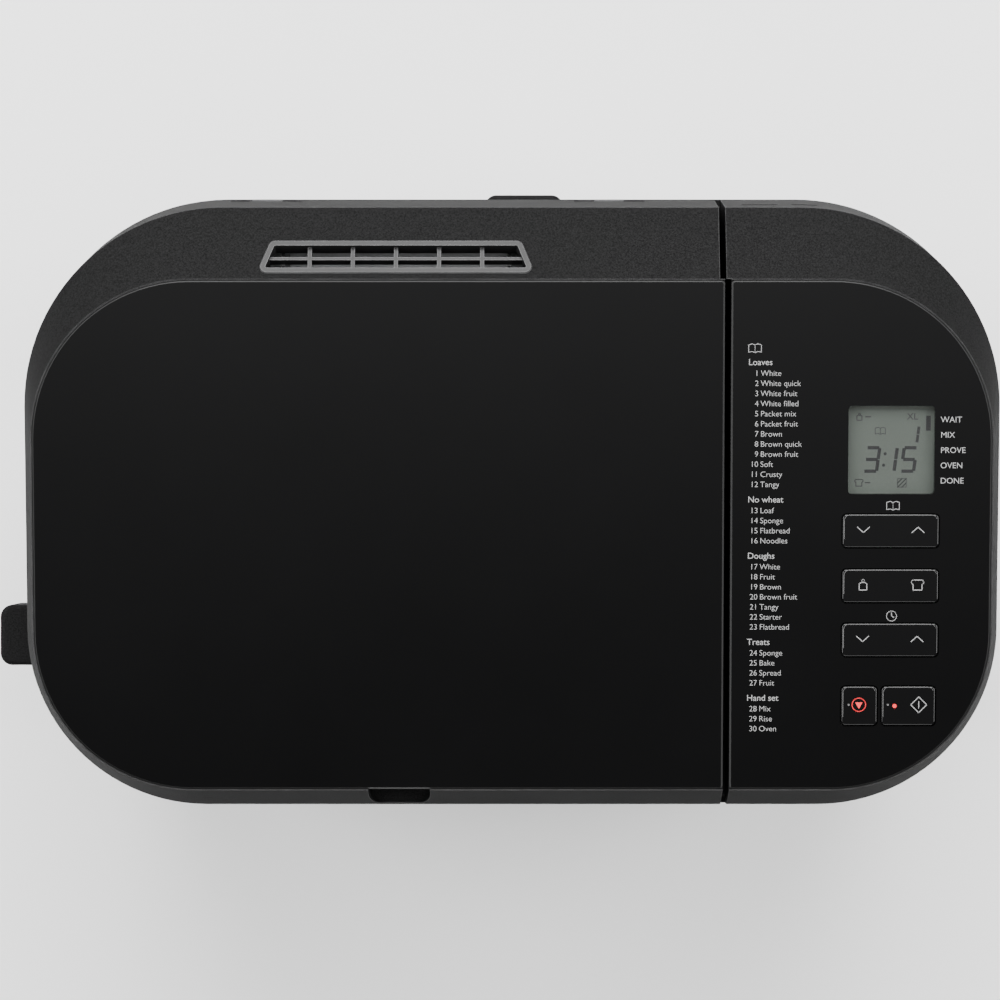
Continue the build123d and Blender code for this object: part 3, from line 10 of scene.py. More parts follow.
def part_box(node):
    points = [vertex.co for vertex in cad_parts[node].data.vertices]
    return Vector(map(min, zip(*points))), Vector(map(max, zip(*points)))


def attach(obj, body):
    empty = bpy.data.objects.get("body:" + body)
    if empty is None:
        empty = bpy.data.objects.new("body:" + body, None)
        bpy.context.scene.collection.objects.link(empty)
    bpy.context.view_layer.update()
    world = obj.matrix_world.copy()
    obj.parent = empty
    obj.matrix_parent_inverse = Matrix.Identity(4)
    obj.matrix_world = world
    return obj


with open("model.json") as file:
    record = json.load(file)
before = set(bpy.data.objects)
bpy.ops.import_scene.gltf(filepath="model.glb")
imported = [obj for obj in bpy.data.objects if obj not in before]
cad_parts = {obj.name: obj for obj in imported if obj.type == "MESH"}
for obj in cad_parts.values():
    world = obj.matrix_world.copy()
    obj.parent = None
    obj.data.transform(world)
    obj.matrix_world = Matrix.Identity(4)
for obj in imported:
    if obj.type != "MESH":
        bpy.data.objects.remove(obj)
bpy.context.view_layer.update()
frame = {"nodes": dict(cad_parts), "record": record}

bl_info = {
    "name": "Bread machine finish",
    "version": (1, 0, 0),
    "blender": (4, 5, 0),
    "location": "View3D > Sidebar > Bread Machine",
    "description": "Finishes, prints, lights and small parts round the packed bread machine",
    "category": "Object",
}

MM = 0.001
nodes = frame["nodes"]


# ---------------------------------------------------------------- places taken from the frame
# a face counts as part of a plate's top when its normal points up at least this much
upward = 0.95


def plate_frame(node):
    """Return a matrix whose Z is the outward normal of a plate's top and whose origin is on that top."""
    mesh = nodes[node].data
    normal = Vector()
    for face in mesh.polygons:
        if face.normal.z > upward:
            normal += face.normal * face.area
    normal.normalize()
    top = max((v.co.dot(normal) for v in mesh.vertices))
    low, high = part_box(node)
    middle = (low + high) / 2
    origin = middle + normal * (top - middle.dot(normal))
    across = Vector((1, 0, 0))
    along = normal.cross(across).normalized()
    return Matrix((across, along, normal)).transposed().to_4x4(), origin


panel_turn, panel_origin = plate_frame("control_panel")
panel_normal = panel_turn.col[2].to_3d()


def on_plane(x, y, origin, normal, lift=0.0):
    """Return the point of a tilted plane above x, y, raised by lift."""
    drop = (Vector((x, y, 0)) - origin).dot(normal) / normal.z
    return Vector((x, y, -drop)) + normal * lift


def centre_of(node):
    """Return the middle of a CAD node's box."""
    low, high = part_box(node)
    return (low + high) / 2


# ---------------------------------------------------------------- sizes and colours a user would change
class BreadMachineLooks(bpy.types.PropertyGroup):
    casing_colour: FloatVectorProperty(
        name="Casing colour", description="Matte moulded shells", subtype="COLOR",
        default=(0.0085, 0.0085, 0.0086), min=0.0, max=1.0)
    gloss_colour: FloatVectorProperty(
        name="Gloss colour", description="Polished plates of the lid and the control panel", subtype="COLOR",
        default=(0.0022, 0.0022, 0.0023), min=0.0, max=1.0)
    print_colour: FloatVectorProperty(
        name="Print colour", description="Lettering and key symbols", subtype="COLOR",
        default=(0.25, 0.25, 0.25), min=0.0, max=1.0)
    display_colour: FloatVectorProperty(
        name="Display colour", description="Background of the display", subtype="COLOR",
        default=(0.048, 0.058, 0.049), min=0.0, max=1.0)
    lamp_colour: FloatVectorProperty(
        name="Lamp colour", description="Stop symbol and start lamp", subtype="COLOR",
        default=(0.75, 0.03, 0.035), min=0.0, max=1.0)
    letter_height: FloatProperty(
        name="Letter height", description="Capital height of the programme list", unit="LENGTH",
        default=2.45 * MM, min=0.0005, max=0.01)
    line_pitch: FloatProperty(
        name="Line pitch", description="Distance between lines of the programme list", unit="LENGTH",
        default=4.02 * MM, min=0.001, max=0.02)
    symbol_line: FloatProperty(
        name="Symbol line", description="Line width of the printed symbols", unit="LENGTH",
        default=0.34 * MM, min=0.00005, max=0.002)
    # the key rim line is a painted highlight along the lit edge of each key
    rim_highlight_width: FloatProperty(
        name="Key rim line", description="Width of the light edge round each key", unit="LENGTH",
        default=0.2 * MM, min=0.00005, max=0.002)


class BreadMachineStage(bpy.types.PropertyGroup):
    camera_height: FloatProperty(
        name="Camera height", description="Camera above the ridge of the machine", unit="LENGTH",
        default=1.6, min=0.3, max=10.0)
    floor_size: FloatProperty(
        name="Floor size", description="Side of the square floor", unit="LENGTH",
        default=9.0, min=1.0, max=50.0)
    key_power: FloatProperty(
        name="Rear light power", description="Large soft light behind the machine", unit="POWER",
        default=185.0, min=0.0, max=2000.0)
    fill_power: FloatProperty(
        name="Side light power", description="Soft light on each side", unit="POWER",
        default=76.0, min=0.0, max=2000.0)
    sky_strength: FloatProperty(
        name="Sky strength", description="Even light from all round", default=0.42, min=0.0, max=5.0)


# ---------------------------------------------------------------- shader node groups
def new_group(name, inputs, outputs):
    """Make an empty shader node group with named sockets and return it with its end nodes."""
    group = bpy.data.node_groups.new(name, "ShaderNodeTree")
    for label, kind, value in inputs:
        socket = group.interface.new_socket(label, in_out="INPUT", socket_type=kind)
        if value is not None:
            socket.default_value = value
    for label, kind in outputs:
        group.interface.new_socket(label, in_out="OUTPUT", socket_type=kind)
    return group, group.nodes.new("NodeGroupInput"), group.nodes.new("NodeGroupOutput")


def place(tree, kind, settings=None, **values):
    """Add a node, set its properties and the values of its inputs."""
    node = tree.nodes.new(kind)
    for key, value in (settings or {}).items():
        setattr(node, key, value)
    for key, value in values.items():
        node.inputs[key.replace("_", " ")].default_value = value
    return node


def maths(tree, operation, first, second):
    """Add a math node whose two inputs are numbers or sockets."""
    node = tree.nodes.new("ShaderNodeMath")
    node.operation = operation
    for slot, value in enumerate((first, second)):
        if isinstance(value, (int, float)):
            node.inputs[slot].default_value = value
        else:
            tree.links.new(value, node.inputs[slot])
    return node.outputs[0]


def build_moulded_grain():
    """Fine spark-eroded grain of moulded plastic: a height and a speckle mask."""
    tree, source, sink = new_group(
        "Moulded grain",
        [("Vector", "NodeSocketVector", None), ("Scale", "NodeSocketFloat", 1500.0)],
        [("Height", "NodeSocketFloat"), ("Speckle", "NodeSocketFloat")])
    fine = place(tree, "ShaderNodeTexNoise", Detail=3.0, Roughness=0.65)
    cells = place(tree, "ShaderNodeTexVoronoi")
    link = tree.links.new
    for texture in (fine, cells):
        link(source.outputs["Vector"], texture.inputs["Vector"])
        link(source.outputs["Scale"], texture.inputs["Scale"])
    total = maths(tree, "ADD", fine.outputs["Fac"], maths(tree, "MULTIPLY", cells.outputs["Distance"], 0.6))
    link(total, sink.inputs["Height"])
    contrast = place(tree, "ShaderNodeMapRange", From_Min=0.35, From_Max=0.65)
    link(fine.outputs["Fac"], contrast.inputs["Value"])
    link(contrast.outputs["Result"], sink.inputs["Speckle"])
    return tree


def build_edge_wear_and_highlight():
    """Mask that is bright where the surface turns sharply, broken up by noise; it lays a painted highlight on
    moulded plastic edges and real wear on metal and coating edges.
    """
    tree, source, sink = new_group(
        "Edge wear and highlight",
        [("Vector", "NodeSocketVector", None), ("Radius", "NodeSocketFloat", 0.0006)],
        [("Mask", "NodeSocketFloat")])
    link = tree.links.new
    rounded = place(tree, "ShaderNodeBevel", {"samples": 4})
    flat = tree.nodes.new("ShaderNodeNewGeometry")
    link(source.outputs["Radius"], rounded.inputs["Radius"])
    facing = place(tree, "ShaderNodeVectorMath", {"operation": "DOT_PRODUCT"})
    link(rounded.outputs["Normal"], facing.inputs[0])
    link(flat.outputs["Normal"], facing.inputs[1])
    turned = place(tree, "ShaderNodeMapRange", From_Min=0.999, From_Max=0.9)
    link(facing.outputs["Value"], turned.inputs["Value"])
    breakup = place(tree, "ShaderNodeTexNoise", Scale=220.0, Detail=4.0)
    link(source.outputs["Vector"], breakup.inputs["Vector"])
    link(maths(tree, "MULTIPLY", turned.outputs["Result"], breakup.outputs["Fac"]), sink.inputs["Mask"])
    return tree


def build_soft_dust():
    """Slow, cloudy variation for roughness and tone, with a few fine specks."""
    tree, source, sink = new_group(
        "Soft dust",
        [("Vector", "NodeSocketVector", None), ("Scale", "NodeSocketFloat", 14.0)],
        [("Cloud", "NodeSocketFloat"), ("Speck", "NodeSocketFloat")])
    link = tree.links.new
    cloud = place(tree, "ShaderNodeTexNoise", Detail=5.0, Roughness=0.6)
    specks = place(tree, "ShaderNodeTexVoronoi", Scale=420.0)
    link(source.outputs["Vector"], cloud.inputs["Vector"])
    link(source.outputs["Scale"], cloud.inputs["Scale"])
    link(source.outputs["Vector"], specks.inputs["Vector"])
    link(cloud.outputs["Fac"], sink.inputs["Cloud"])
    rare = place(tree, "ShaderNodeMapRange", From_Min=0.07, From_Max=0.03)
    link(specks.outputs["Distance"], rare.inputs["Value"])
    link(rare.outputs["Result"], sink.inputs["Speck"])
    return tree


def build_drawn_lines():
    """Long fine lines of rolled, drawn or brushed metal, stretched along one axis."""
    tree, source, sink = new_group(
        "Drawn lines",
        [("Vector", "NodeSocketVector", None), ("Stretch", "NodeSocketVector", (8.0, 900.0, 900.0))],
        [("Line", "NodeSocketFloat")])
    link = tree.links.new
    stretch = place(tree, "ShaderNodeVectorMath", {"operation": "MULTIPLY"})
    link(source.outputs["Vector"], stretch.inputs[0])
    link(source.outputs["Stretch"], stretch.inputs[1])
    lines = place(tree, "ShaderNodeTexNoise", Scale=1.0, Detail=4.0)
    link(stretch.outputs["Vector"], lines.inputs["Vector"])
    link(lines.outputs["Fac"], sink.inputs["Line"])
    return tree


shared = {}


def build_shared_groups():
    """Build every shared effect once."""
    shared["grain"] = build_moulded_grain()
    shared["wear_and_highlight"] = build_edge_wear_and_highlight()
    shared["dust"] = build_soft_dust()
    shared["lines"] = build_drawn_lines()


def put_group(tree, key, vector, **values):
    """Place a shared effect in a material and feed it the surface's place."""
    node = tree.nodes.new("ShaderNodeGroup")
    node.node_tree = shared[key]
    tree.links.new(vector, node.inputs["Vector"])
    for label, value in values.items():
        node.inputs[label].default_value = value
    return node


def start_material(name, **constants):
    """Make a material with a Principled shader, its constant sockets set, and Object coordinates."""
    material = bpy.data.materials.new(name)
    material.use_nodes = True
    tree = material.node_tree
    shader = tree.nodes["Principled BSDF"]
    for label, value in constants.items():
        shader.inputs[label.replace("_", " ")].default_value = value
    where = tree.nodes.new("ShaderNodeTexCoord").outputs["Object"]
    return material, tree, shader, where


def blend_colours(tree, mask, low, high):
    """Return a colour that runs from low to high with a mask."""
    mix = tree.nodes.new("ShaderNodeMix")
    mix.data_type = "RGBA"
    mix.inputs[6].default_value = (*low, 1.0)
    mix.inputs[7].default_value = (*high, 1.0)
    tree.links.new(mask, mix.inputs[0])
    return mix.outputs[2]


def spread(tree, mask, low, high):
    """Return a number that runs from low to high with a mask."""
    ramp = place(tree, "ShaderNodeMapRange", To_Min=low, To_Max=high)
    tree.links.new(mask, ramp.inputs["Value"])
    return ramp.outputs["Result"]


def add_relief(tree, shader, height, depth):
    """Feed a height into the shader's normal through a bump."""
    bump = place(tree, "ShaderNodeBump", Strength=1.0, Distance=depth)
    tree.links.new(height, bump.inputs["Height"])
    tree.links.new(bump.outputs["Normal"], shader.inputs["Normal"])


def lighter(colour, factor):
    """Return a colour scaled and kept within range."""
    return tuple(min(1.0, channel * factor) for channel in colour)


def blend_edge(tree, shader, base, mask, edge_colour):
    """Turn a base colour into another one where a mask is bright, and feed it to the shader."""
    edge = tree.nodes.new("ShaderNodeMix")
    edge.data_type = "RGBA"
    edge.inputs[7].default_value = (*edge_colour, 1.0)
    tree.links.new(base, edge.inputs[6])
    tree.links.new(mask, edge.inputs[0])
    tree.links.new(edge.outputs[2], shader.inputs["Base Color"])


# ---------------------------------------------------------------- finishes
# how much lighter the painted highlight on a plastic edge and a bright worn metal edge are than the rest
painted_highlight_gain = 12.0
bright_gain = 1.35


def moulded_finish(name, colour, roughness=0.66, grain=1500.0, depth=0.00003,
                   speckle=0.5, wear_and_highlight=0.8, shine=0.03):
    """Matte moulded plastic with a spark-eroded grain and a painted highlight along its sharp edges."""
    material, tree, shader, where = start_material(name, Specular_IOR_Level=shine)
    grain_node = put_group(tree, "grain", where, Scale=grain)
    dust = put_group(tree, "dust", where)
    edge_mask = put_group(tree, "wear_and_highlight", where)
    base = blend_colours(tree, grain_node.outputs["Speckle"],
                         lighter(colour, 1 - speckle), lighter(colour, 1 + speckle))
    # painted highlight: the colour is lightened along sharp edges, where they catch the light
    painted_highlight = maths(tree, "MULTIPLY", edge_mask.outputs["Mask"], wear_and_highlight)
    blend_edge(tree, shader, base, painted_highlight, lighter(colour, painted_highlight_gain))
    tree.links.new(spread(tree, dust.outputs["Cloud"], roughness - 0.06, roughness + 0.06),
                   shader.inputs["Roughness"])
    add_relief(tree, shader, grain_node.outputs["Height"], depth)
    return material


def gloss_finish(name, colour):
    """Polished plastic: a clear, faintly hazed surface with sparse dust."""
    material, tree, shader, where = start_material(name, IOR=1.49, Coat_Roughness=0.03)
    dust = put_group(tree, "dust", where, Scale=9.0)
    base = blend_colours(tree, dust.outputs["Cloud"], lighter(colour, 0.8), lighter(colour, 1.25))
    tree.links.new(base, shader.inputs["Base Color"])
    haze = maths(tree, "ADD", spread(tree, dust.outputs["Cloud"], 0.07, 0.12),
                 maths(tree, "MULTIPLY", dust.outputs["Speck"], 0.10))
    tree.links.new(haze, shader.inputs["Roughness"])
    ripple = place(tree, "ShaderNodeTexNoise", Scale=16.0, Detail=1.0)
    tree.links.new(where, ripple.inputs["Vector"])
    add_relief(tree, shader, ripple.outputs["Fac"], 0.00004)
    return material


def metal_finish(name, colour, roughness=0.32, stretch=(8.0, 900.0, 900.0), tint=0.2, stain=None):
    """Sheet or turned metal with fine lines, cloudy tone and bright worn edges."""
    material, tree, shader, where = start_material(name, Metallic=1.0)
    lines = put_group(tree, "lines", where, Stretch=stretch)
    dust = put_group(tree, "dust", where, Scale=22.0)
    edge_mask = put_group(tree, "wear_and_highlight", where)
    base = blend_colours(tree, dust.outputs["Cloud"],
                         stain or lighter(colour, 1 - tint), lighter(colour, 1 + tint / 2))
    blend_edge(tree, shader, base, edge_mask.outputs["Mask"], lighter(colour, bright_gain))
    tree.links.new(spread(tree, lines.outputs["Line"], roughness - 0.1, roughness + 0.14),
                   shader.inputs["Roughness"])
    add_relief(tree, shader, lines.outputs["Line"], 0.00002)
    return material


def cast_finish(name, colour, roughness=0.5):
    """Die-cast alloy with a pebbled skin."""
    material, tree, shader, where = start_material(name, Metallic=1.0)
    grain_node = put_group(tree, "grain", where, Scale=700.0)
    edge_mask = put_group(tree, "wear_and_highlight", where)
    base = blend_colours(tree, grain_node.outputs["Speckle"], lighter(colour, 0.8), lighter(colour, 1.1))
    tree.links.new(base, shader.inputs["Base Color"])
    tree.links.new(spread(tree, edge_mask.outputs["Mask"], roughness, roughness - 0.2), shader.inputs["Roughness"])
    add_relief(tree, shader, grain_node.outputs["Height"], 0.00008)
    return material


def coated_finish(name, colour):
    """Non-stick coating: dark, faintly sparkling, with soft orange peel."""
    material, tree, shader, where = start_material(name, Coat_Roughness=0.35)
    grain_node = put_group(tree, "grain", where, Scale=900.0)
    dust = put_group(tree, "dust", where, Scale=30.0)
    edge_mask = put_group(tree, "wear_and_highlight", where)
    base = blend_colours(tree, grain_node.outputs["Speckle"], lighter(colour, 0.75), lighter(colour, 1.5))
    blend_edge(tree, shader, base, maths(tree, "MULTIPLY", edge_mask.outputs["Mask"], 0.6), (0.22, 0.21, 0.2))
    tree.links.new(spread(tree, dust.outputs["Cloud"], 0.3, 0.5), shader.inputs["Roughness"])
    add_relief(tree, shader, grain_node.outputs["Height"], 0.00005)
    return material


def rubber_finish(name, colour, roughness=0.8):
    """Moulded rubber: dull, with a powdery bloom."""
    material, tree, shader, where = start_material(name)
    grain_node = put_group(tree, "grain", where, Scale=1100.0)
    dust = put_group(tree, "dust", where, Scale=40.0)
    base = blend_colours(tree, dust.outputs["Cloud"], lighter(colour, 0.7), lighter(colour, 1.7))
    tree.links.new(base, shader.inputs["Base Color"])
    tree.links.new(spread(tree, grain_node.outputs["Speckle"], roughness - 0.1, roughness + 0.1),
                   shader.inputs["Roughness"])
    add_relief(tree, shader, grain_node.outputs["Height"], 0.0001)
    return material


def window_finish(name):
    """Clear display window with a faint smear pattern."""
    material, tree, shader, where = start_material(
        name, Base_Color=(0.02, 0.022, 0.02, 1.0), IOR=1.49, Alpha=0.06)
    dust = put_group(tree, "dust", where, Scale=60.0)
    tree.links.new(spread(tree, dust.outputs["Cloud"], 0.03, 0.09), shader.inputs["Roughness"])
    return material


def display_finish(name, colour):
    """Reflective liquid-crystal background: grey green with a fine sparkle."""
    material, tree, shader, where = start_material(name)
    grain_node = put_group(tree, "grain", where, Scale=2600.0)
    dust = put_group(tree, "dust", where, Scale=45.0)
    tone = maths(tree, "ADD", maths(tree, "MULTIPLY", grain_node.outputs["Speckle"], 0.35),
                 maths(tree, "MULTIPLY", dust.outputs["Cloud"], 0.65))
    base = blend_colours(tree, tone, lighter(colour, 0.86), lighter(colour, 1.14))
    tree.links.new(base, shader.inputs["Base Color"])
    tree.links.new(spread(tree, dust.outputs["Cloud"], 0.5, 0.65), shader.inputs["Roughness"])
    return material


def ink_and_highlight_finish(name, colour, glow=0.0):
    """Screen-printed ink with a slightly uneven edge of tone; also the flat colour of the painted highlights
    on the key rims and the gloss plates' edges.
    """
    material, tree, shader, where = start_material(name, Emission_Strength=glow)
    dust = put_group(tree, "dust", where, Scale=300.0)
    base = blend_colours(tree, dust.outputs["Cloud"], lighter(colour, 0.88), lighter(colour, 1.1))
    tree.links.new(base, shader.inputs["Base Color"])
    if glow:
        tree.links.new(base, shader.inputs["Emission Color"])
    tree.links.new(spread(tree, dust.outputs["Cloud"], 0.45, 0.6), shader.inputs["Roughness"])
    return material


def laminate_finish(name):
    """Circuit board: green solder mask with tracks and pads."""
    material, tree, shader, where = start_material(name)
    tracks = place(tree, "ShaderNodeTexBrick", Scale=160.0, Mortar_Size=0.03)
    tracks.inputs["Color1"].default_value = (0.012, 0.085, 0.03, 1.0)
    tracks.inputs["Color2"].default_value = (0.016, 0.11, 0.04, 1.0)
    tracks.inputs["Mortar"].default_value = (0.05, 0.22, 0.09, 1.0)
    tree.links.new(where, tracks.inputs["Vector"])
    tree.links.new(tracks.outputs["Color"], shader.inputs["Base Color"])
    dust = put_group(tree, "dust", where, Scale=50.0)
    tree.links.new(spread(tree, dust.outputs["Cloud"], 0.25, 0.45), shader.inputs["Roughness"])
    add_relief(tree, shader, tracks.outputs["Fac"], 0.00003)
    return material


def core_finish(name):
    """Stacked laminations of the motor core, as fine level lines."""
    material, tree, shader, where = start_material(name, Metallic=1.0)
    sheets = place(tree, "ShaderNodeTexWave", {"bands_direction": "Z"}, Scale=320.0, Distortion=0.4)
    tree.links.new(where, sheets.inputs["Vector"])
    base = blend_colours(tree, sheets.outputs["Fac"], (0.08, 0.075, 0.07), (0.33, 0.32, 0.31))
    tree.links.new(base, shader.inputs["Base Color"])
    tree.links.new(spread(tree, sheets.outputs["Fac"], 0.6, 0.4), shader.inputs["Roughness"])
    add_relief(tree, shader, sheets.outputs["Fac"], 0.00008)
    return material


finishes = {}


def build_finishes(looks):
    """Build one finish for each material slot of the record, and those of the prints."""
    casing = tuple(looks.casing_colour)
    finishes.update({
        "casing_plastic": moulded_finish("casing_plastic", casing),
        "gloss_panel": gloss_finish("gloss_panel", tuple(looks.gloss_colour)),
        "key_gloss": gloss_finish("key_gloss", lighter(tuple(looks.gloss_colour), 1.4)),
        "vent_plastic": moulded_finish("vent_plastic", lighter(casing, 1.6), roughness=0.34,
                                       depth=0.00001, speckle=0.2, shine=0.2),
        "display_glass": window_finish("display_glass"),
        "display_cell": display_finish("display_cell", tuple(looks.display_colour)),
        "lamp_lens": ink_and_highlight_finish("lamp_lens", tuple(looks.lamp_colour), glow=0.15),
        "deck_plastic": moulded_finish("deck_plastic", lighter(casing, 1.15), roughness=0.5, grain=1100.0),
        "zinc_steel": metal_finish("zinc_steel", (0.56, 0.58, 0.6), 0.36, (60.0, 60.0, 60.0), 0.35),
        "aluminised_steel": metal_finish("aluminised_steel", (0.66, 0.67, 0.68), 0.34,
                                         (900.0, 900.0, 9.0), 0.15),
        "heater_sheath": metal_finish("heater_sheath", (0.16, 0.15, 0.14), 0.5, (300.0, 300.0, 300.0), 0.4,
                                      stain=(0.1, 0.07, 0.06)),
        "bright_steel": metal_finish("bright_steel", (0.62, 0.62, 0.63), 0.24, (60.0, 60.0, 2400.0), 0.1),
        "cast_alloy": cast_finish("cast_alloy", (0.58, 0.58, 0.59)),
        "sintered_bronze": cast_finish("sintered_bronze", (0.5, 0.33, 0.16), 0.42),
        "pan_coating": coated_finish("pan_coating", (0.055, 0.055, 0.06)),
        "bail_wire": metal_finish("bail_wire", (0.55, 0.55, 0.56), 0.26, (12.0, 1500.0, 1500.0), 0.1),
        "soft_rubber": rubber_finish("soft_rubber", (0.018, 0.018, 0.018)),
        "seal_silicone": rubber_finish("seal_silicone", (0.3, 0.29, 0.28), 0.6),
        "drive_plastic": moulded_finish("drive_plastic", (0.6, 0.57, 0.47), roughness=0.45, grain=1300.0,
                                        depth=0.00004, speckle=0.08, wear_and_highlight=0.2, shine=0.4),
        "motor_core": core_finish("motor_core"),
        "board_laminate": laminate_finish("board_laminate"),
        "component_dark": moulded_finish("component_dark", (0.03, 0.03, 0.033), roughness=0.4, grain=1800.0,
                                         depth=0.00005, speckle=0.2, wear_and_highlight=0.3, shine=0.4),
        "panel_print": ink_and_highlight_finish("panel_print", tuple(looks.print_colour)),
        # the printed stop symbol is given a faint painted glow
        "stop_print": ink_and_highlight_finish("stop_print", tuple(looks.lamp_colour), glow=0.02),
        # painted highlight for the key rims; the printed touch marks share it
        "rim_highlight_and_touch_print": ink_and_highlight_finish("rim_highlight_and_touch_print", lighter(tuple(looks.print_colour), 0.4)),
        # painted highlight over the bevels of the gloss plates
        "plate_edge": ink_and_highlight_finish("plate_edge", lighter(tuple(looks.print_colour), 0.05)),
        "segment_ink": ink_and_highlight_finish("segment_ink", (0.004, 0.004, 0.005)),
        "black_zinc": metal_finish("black_zinc", (0.03, 0.03, 0.032), 0.45, (60.0, 60.0, 60.0), 0.3),
        "winding_copper": metal_finish("winding_copper", (0.62, 0.27, 0.11), 0.3,
                                       (900.0, 900.0, 900.0), 0.3),
        "bright_solder": cast_finish("bright_solder", (0.7, 0.7, 0.68), 0.3),
    })


def dress(node, finish):
    """Give a CAD node one finish in every material slot."""
    if not nodes[node].data.materials:
        nodes[node].data.materials.append(finishes[finish])
    for slot in nodes[node].material_slots:
        slot.link = "OBJECT"
        slot.material = finishes[finish]


def add_object(name, data):
    """Make an object for a mesh, curve, light or camera and link it to the scene."""
    made = bpy.data.objects.new(name, data)
    bpy.context.scene.collection.objects.link(made)
    return made


def mesh_piece(name, build, finish, body, smooth=False):
    """Make a piece from a bmesh function, give it its finish and let it ride on a body."""
    mesh = bpy.data.meshes.new(name)
    shape = bmesh.new()
    build(shape)
    shape.to_mesh(mesh)
    shape.free()
    piece = add_object(name, mesh)
    piece.data.materials.append(finishes[finish])
    for face in mesh.polygons:
        face.use_smooth = smooth
    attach(piece, body)


# ---------------------------------------------------------------- flat drawing on a plane
def add_flat(shape, points, turn):
    """Add one flat face from 2D points in millimetres, laid on a plane."""
    shape.faces.new([shape.verts.new(turn @ Vector((x * MM, y * MM, 0))) for x, y in points])


def add_line(shape, points, width, turn, closed=False):
    """Add a line of even width through 2D points in millimetres."""
    route = [Vector(p) for p in points]
    ends = route[1:] + (route[:1] if closed else [])
    for start, end in zip(route, ends):
        along = (end - start).normalized() * width / 2
        side = Vector((-along.y, along.x))
        first, last = start - along, end + along
        add_flat(shape, [first - side, last - side, last + side, first + side], turn)


def arc(centre, radius, start, end, steps=16):
    """Return points round a centre, with the angles in degrees."""
    spots = []
    for step in range(steps + 1):
        angle = math.radians(start + (end - start) * step / steps)
        spots.append((centre[0] + radius * math.cos(angle), centre[1] + radius * math.sin(angle)))
    return spots


def moved(points, x, y, size=1.0):
    """Return points scaled and moved."""
    return [(px * size + x, py * size + y) for px, py in points]


def plane_at(turn, point):
    """Return the matrix that lays a drawing on a plane at a point."""
    return Matrix.Translation(point) @ turn


# height of a capital as a share of the type's size
capital_share = 0.7


def word_mesh(shape, lines):
    """Turn lines of type into one mesh; each is words, capital height, place, align and weight."""
    holders = []
    for words, height, where, align, weight in lines:
        curve = bpy.data.curves.new("words", "FONT")
        curve.body = words
        curve.size = height / capital_share
        curve.align_x = align
        curve.align_y = "CENTER"
        curve.offset = weight
        curve.resolution_u = 4
        holder = add_object("words", curve)
        holders.append((holder, curve, where))
    evaluated = bpy.context.evaluated_depsgraph_get()
    for holder, curve, where in holders:
        mesh = bpy.data.meshes.new_from_object(holder.evaluated_get(evaluated))
        mesh.transform(where)
        shape.from_mesh(mesh)
        bpy.data.meshes.remove(mesh)
        bpy.data.objects.remove(holder)
        bpy.data.curves.remove(curve)


# ---------------------------------------------------------------- symbols, in millimetres about their middle
def draw_book(shape, x, y, size, width, turn):
    """Open book: two pages that meet at a spine."""
    for side in (-1, 1):
        page = [(0, -0.75), (0, 0.7), (side * 0.5, 0.95),
                (side * 1.2, 0.75), (side * 1.2, -0.65), (side * 0.5, -0.5)]
        add_line(shape, moved(page, x, y, size), width * 0.75, turn, closed=True)


def draw_weight(shape, x, y, size, width, turn):
    """Kitchen weight: a tapered block with a ring on top."""
    block = [(-0.72, -1.0), (0.72, -1.0), (0.72, 0.2), (0.35, 0.45), (-0.35, 0.45), (-0.72, 0.2)]
    add_line(shape, moved(block, x, y, size), width, turn, closed=True)
    add_line(shape, moved(arc((0, 0.78), 0.26, 0, 360), x, y, size), width * 0.8, turn)


def draw_loaf(shape, x, y, size, width, turn):
    """Tin loaf seen from its end."""
    outline = [(-0.85, -1.0), (0.85, -1.0), (0.85, 0.1)] + arc((0.75, 0.5), 0.42, -60, 90, 8) \
        + arc((-0.75, 0.5), 0.42, 90, 240, 8) + [(-0.85, 0.1)]
    add_line(shape, moved(outline, x, y, size), width, turn, closed=True)


def draw_clock(shape, x, y, size, width, turn):
    """Clock face with two hands."""
    add_line(shape, moved(arc((0, 0), 1.0, 0, 360, 28), x, y, size), width, turn)
    add_line(shape, moved([(0, 0.62), (0, 0), (0.45, -0.25)], x, y, size), width, turn)


def draw_chevron(shape, x, y, size, width, turn):
    """Arrow head that points up, or down with a negative size."""
    add_line(shape, moved([(-1.0, -0.45), (0, 0.45), (1.0, -0.45)], x, y, size), width, turn)


def draw_stop(shape, x, y, size, width, turn):
    """Ring round a triangle that points down."""
    add_line(shape, moved(arc((0, 0), 1.0, 0, 360, 32), x, y, size), width, turn)
    add_flat(shape, moved([(0, -0.62), (0.55, 0.36), (-0.55, 0.36)], x, y, size), turn)


def draw_start(shape, x, y, size, width, turn):
    """Diamond with an upright bar."""
    add_line(shape, moved([(0, -1), (1, 0), (0, 1), (-1, 0)], x, y, size), width, turn, closed=True)
    add_line(shape, moved([(0, -0.4), (0, 0.4)], x, y, size), width, turn)


def draw_dot(shape, x, y, size, turn):
    """Round dot."""
    add_flat(shape, moved(arc((0, 0), 1.0, 0, 345, 23), x, y, size), turn)


